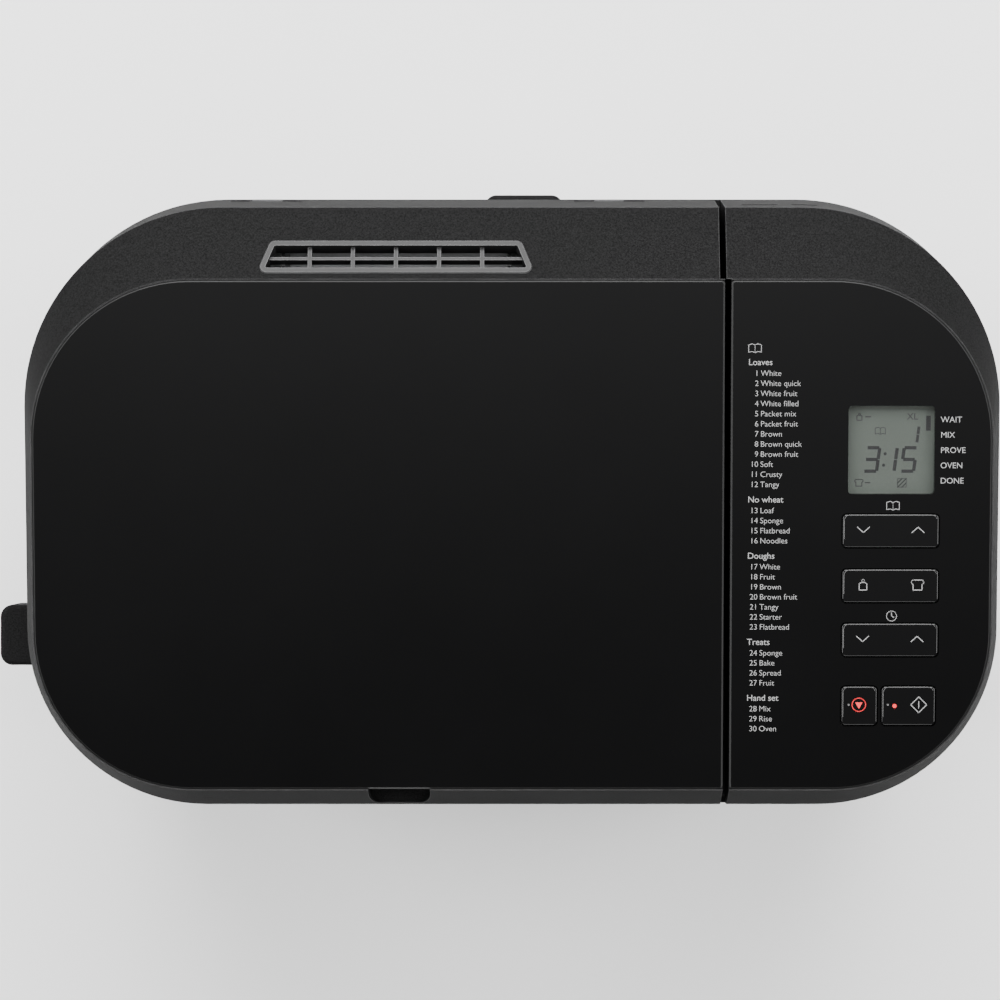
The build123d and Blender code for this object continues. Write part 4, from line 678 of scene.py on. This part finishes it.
# ---------------------------------------------------------------- prints on the control panel, and the painted highlight on the gloss plates' edges
programmes = (
    ("Loaves", "1 White", "2 White quick", "3 White fruit", "4 White filled", "5 Packet mix",
     "6 Packet fruit", "7 Brown", "8 Brown quick", "9 Brown fruit", "10 Soft", "11 Crusty", "12 Tangy"),
    ("No wheat", "13 Loaf", "14 Sponge", "15 Flatbread", "16 Noodles"),
    ("Doughs", "17 White", "18 Fruit", "19 Brown", "20 Brown fruit", "21 Tangy", "22 Starter",
     "23 Flatbread"),
    ("Treats", "24 Sponge", "25 Bake", "26 Spread", "27 Fruit"),
    ("Hand set", "28 Mix", "29 Rise", "30 Oven"),
)
stages = ("WAIT", "MIX", "PROVE", "OVEN", "DONE")
list_left = 102.0 * MM
list_rear = 52.5 * MM
number_right = 4.2 * MM
name_left = 4.9 * MM
heading_gap = 1.5
heading_drop = 1.09
stage_left = 178.7 * MM
stage_rear = 29.7 * MM
stage_pitch = 6.08 * MM
light_stroke = 0.01 * MM
thin_stroke = 0.025 * MM
item_letter = 0.92
stage_letter = 0.95
print_lift = 0.03 * MM
# centre in millimetres, drawing and size of the symbols between the keys
panel_symbols = (
    (104.6, 57.9, draw_book, 2.1), (160.0, -4.7, draw_book, 2.1), (159.8, -48.6, draw_clock, 2.0),
)


def panel_spot(x, y):
    """Return the drawing place on the control panel above a point given in plan."""
    return plane_at(panel_turn, on_plane(x, y, panel_origin, panel_normal, print_lift))


def programme_print(looks):
    """Programme list, stage words and small key symbols printed on the control panel."""
    rows = []
    level = list_rear
    for group in programmes:
        for row, words in enumerate(group):
            weight = light_stroke if row == 0 else -thin_stroke
            height = looks.letter_height * (1.0 if row == 0 else item_letter)
            if row == 0:
                rows.append((words, height, panel_spot(list_left, level), "LEFT", weight))
            else:
                number, name = words.split(" ", 1)
                for text, indent, align in ((number, number_right, "RIGHT"), (name, name_left, "LEFT")):
                    rows.append((text, height, panel_spot(list_left + indent, level), align, weight))
            level -= looks.line_pitch * (1.0 if row else heading_drop)
        level -= looks.line_pitch * (heading_gap - 1.0)
    for row, words in enumerate(stages):
        spot = panel_spot(stage_left, stage_rear - row * stage_pitch)
        rows.append((words, looks.letter_height * stage_letter, spot, "LEFT", -light_stroke))
    symbol = looks.symbol_line / MM

    def build(shape):
        word_mesh(shape, rows)
        for x, y, draw, size in panel_symbols:
            draw(shape, 0, 0, size, symbol, panel_spot(x * MM, y * MM))

    mesh_piece("programme_print", build, "panel_print", "casing")


# lift and range of face slopes of the painted highlight skin over the gloss plates' bevels
edge_lift = 0.015 * MM
steepest_bevel = 0.3
flattest_bevel = 0.95


def plate_edges():
    """Thin skin of painted highlight over the bevelled edges of the two gloss plates."""
    for node, body in (("lid_top_panel", "lid"), ("control_panel", "casing")):
        normal = plate_frame(node)[0].col[2].to_3d()
        mesh = nodes[node].data

        def build(shape):
            for face in mesh.polygons:
                if steepest_bevel < face.normal.dot(normal) < flattest_bevel:
                    shape.faces.new([shape.verts.new(mesh.vertices[v].co + face.normal * edge_lift)
                                     for v in face.vertices])

        mesh_piece(node + "_edge", build, "plate_edge", body)


# ---------------------------------------------------------------- symbols and painted rim highlights of the keys
key_marks = {
    "programme_key": ((-10.9, draw_chevron, -2.4), (10.9, draw_chevron, 2.4)),
    "size_key": ((-10.9, draw_weight, 2.1), (10.9, draw_loaf, 2.1)),
    "timer_key": ((-10.9, draw_chevron, -2.4), (10.9, draw_chevron, 2.4)),
    "start_key": ((4.2, draw_start, 3.2),),
}
# place of the raised dot on each key that has one, and the size of the dot
key_touch = {"stop_key": -4.2, "start_key": -8.2}
touch_radius = 0.42
# inset and corner of the painted rim highlight, in millimetres
rim_margin = 1.2
rim_corner = 2.4
cap_edge = 0.5 * MM


def key_rim_highlight(shape, width, height, corner, line, turn):
    """Painted highlight along the left and rear sides of a key, where its raised edge catches the light, as
    one tapering line.
    """
    left, rear = -width / 2, height / 2
    route = [(left, -rear + corner), (left, rear - corner)]
    route += arc((left + corner, rear - corner), corner, 180, 90, 8)
    route += [(width / 2 - corner, rear)]
    add_line(shape, route, line, turn)
    add_line(shape, arc((width / 2 - corner, rear - corner), corner, 90, 20, 6), line * 0.6, turn)


def top_spot(plate, centred_on=None, lift=print_lift):
    """Return the drawing place on a tilted node, above the middle of its own or another node's box."""
    turn, origin = plate_frame(plate)
    low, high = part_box(centred_on or plate)
    middle = on_plane((low.x + high.x) / 2, (low.y + high.y) / 2, origin, turn.col[2].to_3d(), lift)
    return plane_at(turn, middle)


def key_symbols(looks):
    """Symbols on the keys, each riding on its own key, with a painted highlight along the rim and a touch
    mark.
    """
    line = looks.symbol_line / MM
    rim = looks.rim_highlight_width / MM
    for key in ("programme_key", "size_key", "timer_key", "stop_key", "start_key"):
        spot = top_spot(key)

        def build(shape):
            for x, draw, size in key_marks.get(key, ()):
                draw(shape, x, 0, size, line, spot)

        if key in key_marks:
            mesh_piece(key + "_symbols", build, "panel_print", key)

        def build_touch(shape):
            draw_dot(shape, key_touch[key], 0, touch_radius, spot)

        if key in key_touch:
            mesh_piece(key + "_touch_mark", build_touch, "rim_highlight_and_touch_print", key)

        def build_rim_highlight(shape):
            wide, deep = key_face(key)
            key_rim_highlight(shape, wide - rim_margin, deep - rim_margin, rim_corner, rim, spot)

        mesh_piece(key + "_rim", build_rim_highlight, "rim_highlight_and_touch_print", key)
    stop_spot = top_spot("stop_key")

    def build_stop(shape):
        draw_stop(shape, -0.1, 0, 2.7, line, stop_spot)

    mesh_piece("stop_key_symbol", build_stop, "stop_print", "stop_key")


def key_face(key):
    """Return the width and slope depth, in millimetres, of a key's visible cap."""
    turn = plate_frame(key)[0]
    normal = turn.col[2].to_3d()
    flatten = turn.to_3x3().inverted()
    top = max(v.co.dot(normal) for v in nodes[key].data.vertices)
    rim = [flatten @ v.co for v in nodes[key].data.vertices if top - v.co.dot(normal) < cap_edge]
    wide = max(v.x for v in rim) - min(v.x for v in rim)
    deep = max(v.y for v in rim) - min(v.y for v in rim)
    return wide / MM, deep / MM


# ---------------------------------------------------------------- display
segments = {
    "a": ((0, 2), (1, 2)), "b": ((1, 2), (1, 1)), "c": ((1, 1), (1, 0)), "d": ((0, 0), (1, 0)),
    "e": ((0, 1), (0, 0)), "f": ((0, 2), (0, 1)), "g": ((0, 1), (1, 1)),
}
digits = {"1": "bc", "3": "abgcd", "5": "afgcd"}
# sideways lean per unit of height, and how far a segment stops short of its corner, in line widths
digit_lean = 0.13
segment_gap = 0.62
clock_foot = -8.6


def draw_digit(shape, digit, x, y, wide, tall, line, turn):
    """Seven-segment digit that leans slightly."""
    for name in digits[digit]:
        ends = []
        for column, row in segments[name]:
            ends.append(Vector((column * wide + (row * tall / 2) * digit_lean, row * tall / 2)))
        along = (ends[1] - ends[0]).normalized() * line * segment_gap
        add_line(shape, moved([ends[0] + along, ends[1] - along], x, y), line, turn)


def draw_hatch(shape, x, y, size, turn):
    """Square filled with slanting lines."""
    half = size / 2
    frame_line = 0.22
    corners = [(x - half, y - half), (x + half, y - half), (x + half, y + half), (x - half, y + half)]
    add_line(shape, corners, frame_line, turn, closed=True)
    for shift in (-0.5, 0.0, 0.5):
        reach = half * (1 - abs(shift))
        middle_x, middle_y = x - shift * half, y + shift * half
        add_line(shape, [(middle_x - reach, middle_y - reach), (middle_x + reach, middle_y + reach)],
                 frame_line * 2, turn)


def display_content(looks):
    """Symbols and digits of the display, on the cell below the clear window."""
    spot = top_spot("display_module", "display_window")
    line = looks.symbol_line / MM
    size_word = spot @ Matrix.Translation((8.6 * MM, 13.2 * MM, 0))

    def build(shape):
        for digit, x in (("3", -10.6), ("1", -3.6), ("5", 4.2)):
            draw_digit(shape, digit, x, clock_foot, 5.0, 9.4, 1.35, spot)
        for level in (-1.6, -6.2):
            draw_dot(shape, -3.1 + (level - clock_foot) * digit_lean, level, 0.62, spot)
        draw_digit(shape, "1", 7.2, 2.8, 3.2, 6.6, 1.15, spot)
        draw_hatch(shape, 4.6, -13.3, 3.4, spot)
        add_flat(shape, [(14.0, 7.6), (15.9, 7.6), (15.9, 13.6), (14.0, 13.6)], spot)
        draw_book(shape, -4.2, 7.4, 1.7, line, spot)
        draw_weight(shape, -12.6, 13.2, 1.4, line, spot)
        draw_loaf(shape, -12.6, -13.2, 1.4, line, spot)
        for level in (13.2, -13.2):
            add_line(shape, [(-10.0, level), (-8.2, level)], line * 1.4, spot)
        word_mesh(shape, [("XL", 2.6 * MM, size_word, "CENTER", light_stroke)])

    mesh_piece("display_symbols", build, "segment_ink", "casing")


# ---------------------------------------------------------------- repeated small parts, by geometry nodes
def geometry_tree(name, inputs):
    """Make an empty geometry tree with named inputs and return it with its end nodes."""
    tree = bpy.data.node_groups.new(name, "GeometryNodeTree")
    tree.interface.new_socket("Geometry", in_out="INPUT", socket_type="NodeSocketGeometry")
    for label, kind, value in inputs:
        socket = tree.interface.new_socket(label, in_out="INPUT", socket_type=kind)
        if value is not None:
            socket.default_value = value
    tree.interface.new_socket("Geometry", in_out="OUTPUT", socket_type="NodeSocketGeometry")
    return tree, tree.nodes.new("NodeGroupInput"), tree.nodes.new("NodeGroupOutput")


def end_tree(tree, source, sink, instances):
    """Join one shape's instances into real geometry and give them the material."""
    link = tree.links.new
    real = tree.nodes.new("GeometryNodeRealizeInstances")
    link(instances, real.inputs["Geometry"])
    paint = tree.nodes.new("GeometryNodeSetMaterial")
    link(real.outputs["Geometry"], paint.inputs["Geometry"])
    link(source.outputs["Material"], paint.inputs["Material"])
    link(paint.outputs["Geometry"], sink.inputs["Geometry"])


# width of a stud's top as a share of its foot
stud_taper = 0.7


def stud_field_tree():
    """Grid of round or many-sided studs."""
    tree, source, sink = geometry_tree("Stud field", [
        ("Count Across", "NodeSocketInt", 3), ("Count Along", "NodeSocketInt", 3),
        ("Span Across", "NodeSocketFloat", 0.01), ("Span Along", "NodeSocketFloat", 0.01),
        ("Radius", "NodeSocketFloat", 0.001), ("Height", "NodeSocketFloat", 0.001),
        ("Sides", "NodeSocketInt", 12), ("Material", "NodeSocketMaterial", None)])
    link = tree.links.new
    grid = tree.nodes.new("GeometryNodeMeshGrid")
    link(source.outputs["Span Across"], grid.inputs["Size X"])
    link(source.outputs["Span Along"], grid.inputs["Size Y"])
    link(source.outputs["Count Across"], grid.inputs["Vertices X"])
    link(source.outputs["Count Along"], grid.inputs["Vertices Y"])
    stud = tree.nodes.new("GeometryNodeMeshCone")
    stud.inputs["Radius Top"].default_value = 0.0
    narrow = tree.nodes.new("ShaderNodeMath")
    narrow.operation = "MULTIPLY"
    narrow.inputs[1].default_value = stud_taper
    link(source.outputs["Radius"], narrow.inputs[0])
    link(narrow.outputs[0], stud.inputs["Radius Top"])
    link(source.outputs["Radius"], stud.inputs["Radius Bottom"])
    link(source.outputs["Height"], stud.inputs["Depth"])
    link(source.outputs["Sides"], stud.inputs["Vertices"])
    scatter = tree.nodes.new("GeometryNodeInstanceOnPoints")
    link(grid.outputs["Mesh"], scatter.inputs["Points"])
    link(stud.outputs["Mesh"], scatter.inputs["Instance"])
    end_tree(tree, source, sink, scatter.outputs["Instances"])
    return tree


def ring_stack_tree():
    """Stack of level rings of round wire, as in ribs, treads and windings."""
    tree, source, sink = geometry_tree("Ring stack", [
        ("Count", "NodeSocketInt", 4), ("Pitch", "NodeSocketFloat", 0.002),
        ("Ring Radius", "NodeSocketFloat", 0.01), ("Growth", "NodeSocketFloat", 0.0),
        ("Wire Radius", "NodeSocketFloat", 0.0005), ("Sides", "NodeSocketInt", 6),
        ("Steps", "NodeSocketInt", 40), ("Material", "NodeSocketMaterial", None)])
    link = tree.links.new
    column = tree.nodes.new("GeometryNodeMeshLine")
    link(source.outputs["Count"], column.inputs["Count"])
    rise = tree.nodes.new("ShaderNodeCombineXYZ")
    link(source.outputs["Pitch"], rise.inputs["Z"])
    link(rise.outputs["Vector"], column.inputs["Offset"])
    ring = tree.nodes.new("GeometryNodeCurvePrimitiveCircle")
    link(source.outputs["Ring Radius"], ring.inputs["Radius"])
    link(source.outputs["Steps"], ring.inputs["Resolution"])
    wire = tree.nodes.new("GeometryNodeCurvePrimitiveCircle")
    link(source.outputs["Wire Radius"], wire.inputs["Radius"])
    link(source.outputs["Sides"], wire.inputs["Resolution"])
    tube = tree.nodes.new("GeometryNodeCurveToMesh")
    link(ring.outputs["Curve"], tube.inputs["Curve"])
    link(wire.outputs["Curve"], tube.inputs["Profile Curve"])
    scatter = tree.nodes.new("GeometryNodeInstanceOnPoints")
    link(column.outputs["Mesh"], scatter.inputs["Points"])
    link(tube.outputs["Mesh"], scatter.inputs["Instance"])
    order = tree.nodes.new("GeometryNodeInputIndex")
    wider = tree.nodes.new("ShaderNodeMath")
    wider.operation = "MULTIPLY_ADD"
    wider.inputs[2].default_value = 1.0
    link(order.outputs["Index"], wider.inputs[0])
    link(source.outputs["Growth"], wider.inputs[1])
    flat = tree.nodes.new("ShaderNodeCombineXYZ")
    flat.inputs["Z"].default_value = 1.0
    link(wider.outputs[0], flat.inputs["X"])
    link(wider.outputs[0], flat.inputs["Y"])
    link(flat.outputs["Vector"], scatter.inputs["Scale"])
    end_tree(tree, source, sink, scatter.outputs["Instances"])
    return tree


def repeated_mesh(tree, finish, values):
    """Evaluate a geometry tree once and return a plain mesh."""
    seed = bpy.data.meshes.new("seed")
    holder = add_object("seed", seed)
    modifier = holder.modifiers.new("repeat", "NODES")
    modifier.node_group = tree
    values = {**values, "Material": finishes[finish]}
    for item in tree.interface.items_tree:
        if item.item_type == "SOCKET" and item.in_out == "INPUT" and item.name in values:
            modifier[item.identifier] = values[item.name]
    evaluated = bpy.context.evaluated_depsgraph_get()
    mesh = bpy.data.meshes.new_from_object(holder.evaluated_get(evaluated))
    holder.modifiers.remove(modifier)
    bpy.data.objects.remove(holder)
    bpy.data.meshes.remove(seed)
    return mesh


def repeated_piece(name, tree, finish, body, placings, smooth=True, **values):
    """Make a piece from a geometry tree, repeated at each placing, riding on a body."""
    mesh = repeated_mesh(tree, finish, {label.replace("_", " "): value for label, value in values.items()})

    def build(shape):
        for placing in placings:
            copy = mesh.copy()
            copy.transform(placing)
            shape.from_mesh(copy)
            bpy.data.meshes.remove(copy)

    mesh_piece(name, build, finish, body, smooth)
    bpy.data.meshes.remove(mesh)


tread_inset = 10 * MM
tread_height = 0.5 * MM
tread_radius = 5.4 * MM
coil_count = 4
coil_reach = 24 * MM
coil_start = -3 * MM
solder_depth = -1.9 * MM


def small_repeats():
    """Foot treads, motor windings and the solder under the control board."""
    studs = stud_field_tree()
    rings = ring_stack_tree()
    low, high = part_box("rubber_feet")
    foot_places = [Matrix.Translation((x, y, tread_height))
                   for x in (low.x + tread_inset, high.x - tread_inset)
                   for y in (low.y + tread_inset, high.y - tread_inset)]
    repeated_piece("foot_treads", rings, "soft_rubber", "casing", foot_places,
                   Count=1, Ring_Radius=tread_radius)
    middle = Matrix.Translation(centre_of("motor_stator"))
    upright = Matrix.Rotation(math.radians(90), 4, "Y")
    coils = []
    for coil in range(coil_count):
        around = Matrix.Rotation(math.radians(360 / coil_count * coil + 45), 4, "Z")
        outward = Matrix.Translation((coil_reach, 0, 0))
        coils.append(middle @ around @ outward @ upright @ Matrix.Translation((0, 0, coil_start)))
    repeated_piece("motor_windings", rings, "winding_copper", "casing", coils, Count=7, Pitch=0.95 * MM,
                   Ring_Radius=8.5 * MM, Wire_Radius=0.55 * MM, Growth=0.02, Steps=28)
    board = top_spot("control_board", lift=solder_depth) @ Matrix.Rotation(math.pi, 4, "X")
    repeated_piece("board_solder", studs, "bright_solder", "casing", [board], Count_Across=9, Count_Along=16,
                   Span_Across=60 * MM, Span_Along=120 * MM, Radius=0.9 * MM, Height=0.8 * MM, Sides=10)


# ---------------------------------------------------------------- stage
def floor_finish():
    """Plain pale floor with a barely visible mottle."""
    material, tree, shader, where = start_material("stage_floor")
    dust = put_group(tree, "dust", where, Scale=3.0)
    base = blend_colours(tree, dust.outputs["Cloud"], (0.95, 0.95, 0.95), (0.97, 0.97, 0.97))
    tree.links.new(base, shader.inputs["Base Color"])
    tree.links.new(spread(tree, dust.outputs["Cloud"], 0.85, 0.95), shader.inputs["Roughness"])
    return material


def soft_light(name, size, power, where, aim):
    """Add a large soft square light that faces a point."""
    light = bpy.data.lights.new(name, "AREA")
    light.size = size
    light.energy = power
    holder = add_object(name, light)
    holder.location = where
    holder.rotation_euler = (Vector(aim) - Vector(where)).to_track_quat("-Z", "Y").to_euler()


# the sky brightens between these two directions, front to rear, from a share of its full strength
sky_dim_edge = -0.275
sky_bright_edge = -0.13
sky_curve = 2.0
sky_share = 0.13


def sky(strength):
    """Even pale surroundings, darker overhead towards the front of the machine."""
    world = bpy.data.worlds.new("studio")
    bpy.context.scene.world = world
    world.use_nodes = True
    tree = world.node_tree
    direction = place(tree, "ShaderNodeTexCoord")
    parts = place(tree, "ShaderNodeSeparateXYZ")
    tree.links.new(direction.outputs["Generated"], parts.inputs["Vector"])
    ramp = place(tree, "ShaderNodeMapRange", From_Min=sky_dim_edge, From_Max=sky_bright_edge)
    tree.links.new(parts.outputs["Y"], ramp.inputs["Value"])
    rise = maths(tree, "POWER", ramp.outputs["Result"], sky_curve)
    level = maths(tree, "ADD", maths(tree, "MULTIPLY", rise, strength), strength * sky_share)
    background = tree.nodes["Background"]
    background.inputs["Color"].default_value = (1.0, 1.0, 1.0, 1.0)
    tree.links.new(level, background.inputs["Strength"])


# height of the machine's ridge and the lens that frames it from the camera's height
ridge_height = 0.362
camera_lens = 145.15
camera_shift = (-0.012, 0.001)
camera_place = (8.0 * MM, -2.6 * MM)
front_share = 0.4


def build_stage(setting):
    """Floor, lights and the camera straight above the machine."""
    mesh = bpy.data.meshes.new("stage_floor")
    shape = bmesh.new()
    half = setting.floor_size / 2
    corners = ((-half, -half), (half, -half), (half, half), (-half, half))
    shape.faces.new([shape.verts.new((x, y, 0)) for x, y in corners])
    shape.to_mesh(mesh)
    shape.free()
    floor = add_object("stage_floor", mesh)
    mesh.materials.append(floor_finish())
    soft_light("stage_rear_light", 2.2, setting.key_power, (0.0, 1.9, 2.1), (0, 0, 0.0))
    for side, name in ((-1, "stage_left_light"), (1, "stage_right_light")):
        soft_light(name, 1.8, setting.fill_power, (side * 2.1, 0.2, 2.0), (0, 0, 0.0))
    soft_light("stage_front_light", 1.6, setting.fill_power * front_share, (0.0, -2.2, 2.2), (0, -0.5, 0.0))
    sky(setting.sky_strength)
    camera = bpy.data.cameras.new("camera")
    camera.lens = camera_lens
    camera.shift_x, camera.shift_y = camera_shift
    holder = add_object("camera", camera)
    holder.location = (*camera_place, ridge_height + setting.camera_height)
    bpy.context.scene.camera = holder


# ---------------------------------------------------------------- operators
class BREADMACHINE_OT_finishes(bpy.types.Operator):
    """Give every CAD part the finish of its material slot"""
    bl_idname = "bread_machine.finishes"
    bl_label = "Finish the parts"

    def execute(self, context):
        build_shared_groups()
        build_finishes(context.scene.bread_machine_looks)
        for subpart in frame["record"]["subparts"]:
            dress(subpart["node"], subpart["material_slot"])
        for node in ("hinge_brackets", "hinge_pins"):
            dress(node, "black_zinc")
        return {"FINISHED"}


class BREADMACHINE_OT_programme_print(bpy.types.Operator):
    """Print the programme list and the stage words on the control panel"""
    bl_idname = "bread_machine.programme_print"
    bl_label = "Print the programme list"

    def execute(self, context):
        programme_print(context.scene.bread_machine_looks)
        return {"FINISHED"}


class BREADMACHINE_OT_plate_edges(bpy.types.Operator):
    """Lay the painted highlight line round the lid's and the panel's gloss plates"""
    bl_idname = "bread_machine.plate_edges"
    bl_label = "Edge the gloss plates"

    def execute(self, context):
        plate_edges()
        return {"FINISHED"}


class BREADMACHINE_OT_key_symbols(bpy.types.Operator):
    """Put the symbols and light rims on the keys"""
    bl_idname = "bread_machine.key_symbols"
    bl_label = "Mark the keys"

    def execute(self, context):
        key_symbols(context.scene.bread_machine_looks)
        return {"FINISHED"}


class BREADMACHINE_OT_display_content(bpy.types.Operator):
    """Draw the time and the symbols on the display"""
    bl_idname = "bread_machine.display_content"
    bl_label = "Fill the display"

    def execute(self, context):
        display_content(context.scene.bread_machine_looks)
        return {"FINISHED"}


class BREADMACHINE_OT_small_repeats(bpy.types.Operator):
    """Add the foot treads, the motor windings and the board's solder"""
    bl_idname = "bread_machine.small_repeats"
    bl_label = "Add the repeated small parts"

    def execute(self, context):
        small_repeats()
        return {"FINISHED"}


class BREADMACHINE_OT_stage(bpy.types.Operator):
    """Add the floor, the studio lights and the camera"""
    bl_idname = "bread_machine.stage"
    bl_label = "Set the stage"

    def execute(self, context):
        build_stage(context.scene.bread_machine_stage)
        return {"FINISHED"}


class BREADMACHINE_PT_panel(bpy.types.Panel):
    bl_idname = "BREADMACHINE_PT_panel"
    bl_label = "Bread Machine"
    bl_space_type = "VIEW_3D"
    bl_region_type = "UI"
    bl_category = "Bread Machine"

    def draw(self, context):
        for group in (context.scene.bread_machine_looks, context.scene.bread_machine_stage):
            for name in group.__annotations__:
                self.layout.prop(group, name)
        for operator in operators:
            self.layout.operator(operator.bl_idname)


operators = (
    BREADMACHINE_OT_finishes, BREADMACHINE_OT_programme_print, BREADMACHINE_OT_plate_edges,
    BREADMACHINE_OT_key_symbols, BREADMACHINE_OT_display_content, BREADMACHINE_OT_small_repeats,
    BREADMACHINE_OT_stage,
)
classes = (BreadMachineLooks, BreadMachineStage) + operators + (BREADMACHINE_PT_panel,)


def register():
    for item in classes:
        bpy.utils.register_class(item)
    bpy.types.Scene.bread_machine_looks = PointerProperty(type=BreadMachineLooks)
    bpy.types.Scene.bread_machine_stage = PointerProperty(type=BreadMachineStage)


def unregister():
    del bpy.types.Scene.bread_machine_stage
    del bpy.types.Scene.bread_machine_looks
    for item in reversed(classes):
        bpy.utils.unregister_class(item)


def main():
    register()
    bpy.ops.bread_machine.finishes()
    bpy.ops.bread_machine.programme_print()
    bpy.ops.bread_machine.plate_edges()
    bpy.ops.bread_machine.key_symbols()
    bpy.ops.bread_machine.display_content()
    bpy.ops.bread_machine.small_repeats()
    bpy.ops.bread_machine.stage()


if __name__ == "__main__":
    main()
